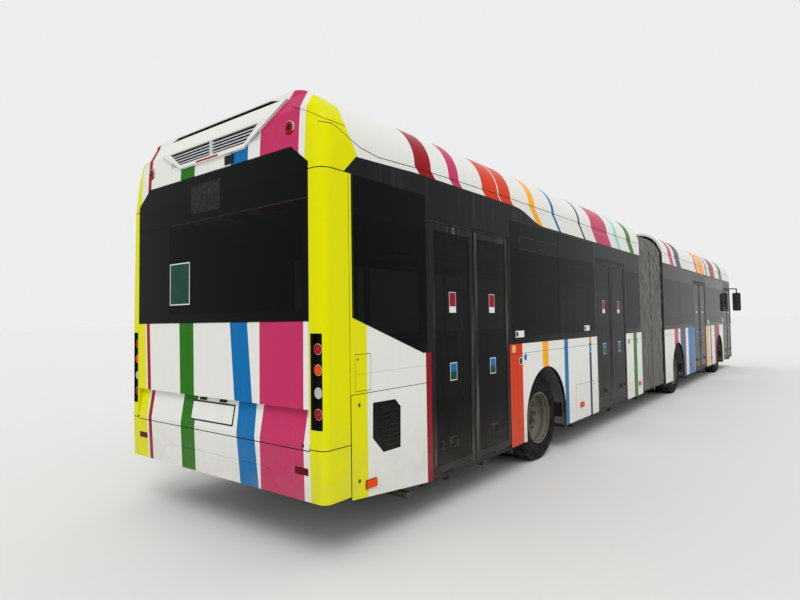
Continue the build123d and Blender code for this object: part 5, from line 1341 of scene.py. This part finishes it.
# Dished discs, rims, hubs and hand holes, in outlines of radius and height
TWIN_FACE = 1.175
DISH_DEPTH = 0.15
DISH_SIDES = 72
DISH_PROFILE = (
    (0.2725, -0.12), (0.262, -0.143), (0.238, -0.158), (0.19, -0.158), (0.182, -0.15), (0.13, -0.15),
    (0.13, -0.162), (0.186, -0.162), (0.194, -0.17), (0.242, -0.17), (0.2725, -0.152), (0.2725, -0.12),
)
RIM_PROFILES = (
    (
        (0.27, -0.026), (0.27, -0.01), (0.28, -0.003), (0.291, -0.005), (0.294, -0.018), (0.284, -0.02),
        (0.27, -0.026),
    ),
    ((0.2725, -0.062), (0.264, -0.068), (0.264, -0.084), (0.2725, -0.09), (0.2725, -0.062)),
)
HUB_PROFILE = (
    (0.13, -0.03), (0.128, -0.006), (0.115, 0.004), (0.11, 0.02), (0.1, 0.026), (0.05, 0.028), (0.02, 0.028)
)
HAND_HOLE = ((0.027, 0), (0.027, 0.3))
HAND_HOLE_CIRCLE = 0.213
HAND_HOLES = 8

# Washer, nut and stud, each its outline, sides and finish; and the cap and its screws
NUT_PARTS = (
    (((0.017, 0), (0.017, 0.006)), 20, 0),
    (((0.0145, 0), (0.0145, 0.022), (0.011, 0.026)), 6, 0),
    (((0.0095, 0), (0.0095, 0.034)), 12, 1),
)
NUTS = 10
NUT_START = 0.25
CAP_PROFILE = ((0.086, 0), (0.086, 0.01), (0.08, 0.022), (0.05, 0.03), (0.02, 0.032))
CAP_SCREW = ((0.006, 0), (0.006, 0.03))
CAP_SCREW_CIRCLE = 0.072
CAP_SCREWS = 8

# How deep a fitting sits in its surface, the shares of a round head that its edge and its top take, how
# far outside the model a line to it starts, and how near two points count as one
BED = 0.002
HEAD_EDGE = 0.6
HEAD_TOP = 0.8
CLEAR = 0.4
MERGE_DISTANCE = 1e-6


class BUS_OT_fit_door_trim(bpy.types.Operator):
    """Fit the portal seals, and the rubber, handles, stickers and low fittings of the leaves"""

    bl_idname = "bus.fit_door_trim"
    bl_label = "Door trim"

    def execute(self, context):
        for name, rear, front in DOORS:
            for half, edge in (("rear", 1), ("front", -1)):
                self.dress_leaf(f"{name}_{half}_leaf", edge)
            seals = Piece(f"{name}_portal_seals", "rubber_seal", "trim_plastic")
            for station, way in ((rear, 1), (front, -1)):
                x = sorted(at(station) + way * edge for edge in SEAL_EDGES)
                seals.box(x, [edge - HALF_WIDTH for edge in SEAL_DEPTH], SEAL_HEIGHTS)
            x = (at(rear + BRUSH_INSET), at(front - BRUSH_INSET))
            seals.box(x, [edge - HALF_WIDTH for edge in BRUSH_DEPTH], BRUSH_HEIGHTS, 1)
            seals.placed("rear_section" if front < COVER_SPLIT else "front_section", "dark_frame")
        return {"FINISHED"}

    def dress_leaf(self, leaf, edge):
        """Rubber on the leading edge and a grab handle on the inside of one leaf, with its stickers."""
        low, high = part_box(leaf)
        trim = Piece(f"{leaf}_trim", "rubber_seal", "grab_poles", "trim_plastic")
        lead = high.x if edge > 0 else low.x
        x = sorted((lead - edge * RUBBER_BED, lead + edge * RUBBER_PROUD))
        y = [low.y + depth for depth in RUBBER_DEPTH]
        trim.box(x, y, (low.z + RUBBER_INSET, high.z - RUBBER_INSET))
        inside = low.y + LEAF_DEPTH
        line = lead - edge * HANDLE_ASIDE
        bar = inside + HANDLE_REACH
        low_end, high_end = HANDLE_ENDS
        trim.rod((line, bar, low_end - HANDLE_TAIL), (line, bar, high_end + HANDLE_TAIL), HANDLE_RADIUS, 1)
        for z in HANDLE_ENDS:
            root = (lead - edge * HANDLE_ROOT, inside - HANDLE_BED, z)
            trim.rod((line, bar, z), root, HANDLE_FOOT_RADIUS, 2)
        trim.placed(leaf, "door_frame")
        middle = (low.x + high.x) / 2 - REAR
        signs = Piece(f"{leaf}_stickers", "white_plate", "sign_red", "sign_blue", "sign_green")
        for half, heights, proud, finish in DOOR_STICKERS:
            signs.on_right(about(middle, half), heights, proud, finish)
        signs.placed(leaf, "door_frame")
        grips = Piece(f"{leaf}_grips", "rim_line", "rubber_seal")
        for aside, half, rise in GRIPS:
            spot = middle - edge * aside
            for margin, proud, finish in GRIP_PARTS:
                grips.on_right(about(spot, half - margin), about(GRIP_HEIGHT, rise - margin), proud, finish)
        grips.placed(leaf, "door_frame", bevel=0.0015)


# Stickers of a leaf, each its half width, heights, how far it stands proud and finish
DOOR_STICKERS = (
    (0.056, (1.093, 1.247), 0.0004, 0), (0.05, (1.17, 1.24), 0.0008, 2), (0.05, (1.1, 1.17), 0.0008, 3),
    (0.054, (1.68, 1.86), 0.0004, 0), (0.049, (1.735, 1.855), 0.0008, 1),
)

# Doors: rear and front end of each opening; and the rubber seals and the brush of its portal
DOORS = (
    ("door_4", 1.215, 2.614), ("door_3", 5.238, 6.609), ("door_2", 12.02, 13.54), ("door_1", 16.5, 17.76)
)
SEAL_EDGES = (0.0005, 0.005)
SEAL_DEPTH = (0.001, 0.03)
SEAL_HEIGHTS = (0.34, 2.45)
BRUSH_INSET = 0.01
BRUSH_DEPTH = (0.004, 0.018)
BRUSH_HEIGHTS = (2.436, 2.4595)

# Leading edge's rubber, grab handle and low fittings of a leaf
RUBBER_BED = 0.001
RUBBER_PROUD = 0.0065
RUBBER_DEPTH = (0.008, 0.032)
RUBBER_INSET = 0.01
LEAF_DEPTH = 0.04
HANDLE_ENDS = (1.0, 1.62)
HANDLE_TAIL = 0.02
HANDLE_ASIDE = 0.1
HANDLE_REACH = 0.05
HANDLE_RADIUS = 0.014
HANDLE_ROOT = 0.035
HANDLE_BED = 0.004
HANDLE_FOOT_RADIUS = 0.01
GRIPS = ((0.015, 0.062, 0.046), (0.2, 0.028, 0.036))
GRIP_HEIGHT = 0.57
GRIP_PARTS = ((0, 0.004, 0), (0.01, 0.0055, 1))


class BUS_OT_fit_front_trim(bpy.types.Operator):
    """Fit the wipers, the blank front plate and the mirror glasses"""

    bl_idname = "bus.fit_front_trim"
    bl_label = "Front trim"

    def execute(self, context):
        ahead = Vector((1, 0, 0))
        wipers = Piece("windscreen_wipers", "trim_plastic", "rubber_seal")
        for pivot, tip in WIPERS:
            foot = front_face(pivot, WIPER_FOOT)
            blade = [front_face(pivot + (tip - pivot) * part, WIPER_LINE) for part in (0, 0.5, 1)]
            wipers.turned(WIPER_BOSS, foot - ahead * BED, ahead, sides=20)
            wipers.rod(foot + ahead * WIPER_LIFT, blade[1] + ahead * ARM_RADIUS, ARM_RADIUS, sides=10)
            blade = [point + ahead * BLADE_LIFT for point in blade]
            for start, end in zip(blade, blade[1:]):
                wipers.rod(start, end, BLADE_RADIUS, finish=1, sides=8)
        for corner in wipers.shape.verts:
            corner.co.x = min(corner.co.x, CAD_HIGH.x - FRONT_MARGIN)
        wipers.placed("front_section", "dark_frame")
        plate = Piece("front_number_plate", "trim_plastic", "white_plate")
        face = min(front_face(0, FRONT_PLATE_HEIGHT).x, CAD_HIGH.x - FRONT_PLATE_ROOM)
        for finish, margin, proud in FRONT_PLATE_PARTS:
            x = (face - FRONT_PLATE_BED, face + proud)
            z = about(FRONT_PLATE_HEIGHT, FRONT_PLATE_RISE + margin)
            plate.box(x, about(0, FRONT_PLATE_HALF + margin), z, finish)
        plate.placed("front_section", "body_paint", bevel=0.001)
        glasses = Piece("mirror_glasses", "mirror_glass")
        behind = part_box("mirrors")[0].x - CLEAR
        for side in (-1, 1):
            for z in MIRROR_HEIGHTS:
                spot = touch((behind, side * MIRROR_MIDDLE, sum(z) / 2), ahead).x
                y = about(side * MIRROR_MIDDLE, MIRROR_HALF)
                glasses.box([spot + edge for edge in MIRROR_GLASS], y, z)
        glasses.placed("front_section", "mirror_shell", bevel=0.0015)
        return {"FINISHED"}


# Wipers: width at the pivot and the tip of each, their heights, the boss, arm and blade, and how far they
# stay behind the front of the model
WIPERS = ((0.2, 1.05), (-0.75, 0.1))
WIPER_FOOT = 0.93
WIPER_LINE = 1.06
WIPER_BOSS = ((0.022, 0), (0.022, 0.016))
WIPER_LIFT = 0.01
ARM_RADIUS = 0.007
BLADE_LIFT = 0.003
BLADE_RADIUS = 0.005
FRONT_MARGIN = 0.0002

# Front plate, with the finish, margin and stand of its two parts
FRONT_PLATE_HEIGHT = 0.72
FRONT_PLATE_RISE = 0.055
FRONT_PLATE_HALF = 0.26
FRONT_PLATE_BED = 0.006
FRONT_PLATE_ROOM = 0.0045
FRONT_PLATE_PARTS = ((0, 0.012, 0.002), (1, 0, 0.004))

# Mirror glasses: heights of the two in each housing, their middle and half width, and their depth
MIRROR_HEIGHTS = ((1.79, 2.02), (2.05, 2.3))
MIRROR_MIDDLE = 1.45
MIRROR_HALF = 0.085
MIRROR_GLASS = (-0.002, 0.004)


class BUS_OT_fit_inside(bpy.types.Operator):
    """Fit the ceiling lights"""

    bl_idname = "bus.fit_inside"
    bl_label = "Inside trim"

    def execute(self, context):
        for body, ends in CEILING_LIGHTS:
            lights = Piece(f"{body}_ceiling_lights", "trim_plastic", "lamp_diffuser")
            ceiling = touch((at(sum(ends) / 2), LIGHT_ASIDE, LIGHT_PROBE), (0, 0, 1)).z
            for y in (-LIGHT_ASIDE, LIGHT_ASIDE):
                for inset, half, low, high, finish in LIGHT_PARTS:
                    x = (at(ends[0]) + inset, at(ends[1]) - inset)
                    lights.box(x, about(y, half), (ceiling - low, ceiling - high), finish)
            lights.placed(body, "cab_plastic", bevel=0.003)
        return {"FINISHED"}


# Ceiling lights: their ends, their distance from the middle, the height from which the ceiling is sought,
# and for bed and diffuser the inset, half width, low and high edge and finish
CEILING_LIGHTS = (("rear_section", (2.8, 7.2)), ("front_section", (9.5, 16.6)))
LIGHT_ASIDE = 0.55
LIGHT_PROBE = 2
LIGHT_PARTS = ((0, 0.09, 0.014, -0.001, 0), (0.02, 0.07, 0.022, 0.01, 1))


class BUS_PT_sidebar(bpy.types.Panel):
    """The bus's pieces and sizes in the sidebar"""

    bl_label = "Articulated bus"
    bl_idname = "BUS_PT_sidebar"
    bl_space_type = "VIEW_3D"
    bl_region_type = "UI"
    bl_category = "Bus"

    def draw(self, context):
        for operator in OPERATORS:
            self.layout.operator(operator.bl_idname)
        for group in (context.scene.bus_sizes, context.scene.bus_colours):
            for name in group.bl_rna.properties.keys():
                if name not in ("rna_type", "name"):
                    self.layout.prop(group, name)


OPERATORS = (
    BUS_OT_set_stage, BUS_OT_paint_bodywork, BUS_OT_pleat_bellows, BUS_OT_fit_rear_trim,
    BUS_OT_fit_side_trim, BUS_OT_fit_wheels, BUS_OT_fit_door_trim, BUS_OT_fit_front_trim, BUS_OT_fit_inside,
)
CLASSES = (BusColours, BusSizes, *OPERATORS, BUS_PT_sidebar)


def register():
    """Add the classes and the bus's settings."""
    for made in CLASSES:
        bpy.utils.register_class(made)
    bpy.types.Scene.bus_colours = bpy.props.PointerProperty(type=BusColours)
    bpy.types.Scene.bus_sizes = bpy.props.PointerProperty(type=BusSizes)


def unregister():
    """Take the settings and the classes away."""
    del bpy.types.Scene.bus_sizes
    del bpy.types.Scene.bus_colours
    for made in reversed(CLASSES):
        bpy.utils.unregister_class(made)


def main():
    """Make everything in order."""
    register()
    for operator in OPERATORS:
        group, name = operator.bl_idname.split(".")
        getattr(getattr(bpy.ops, group), name)()


if __name__ == "__main__":
    main()
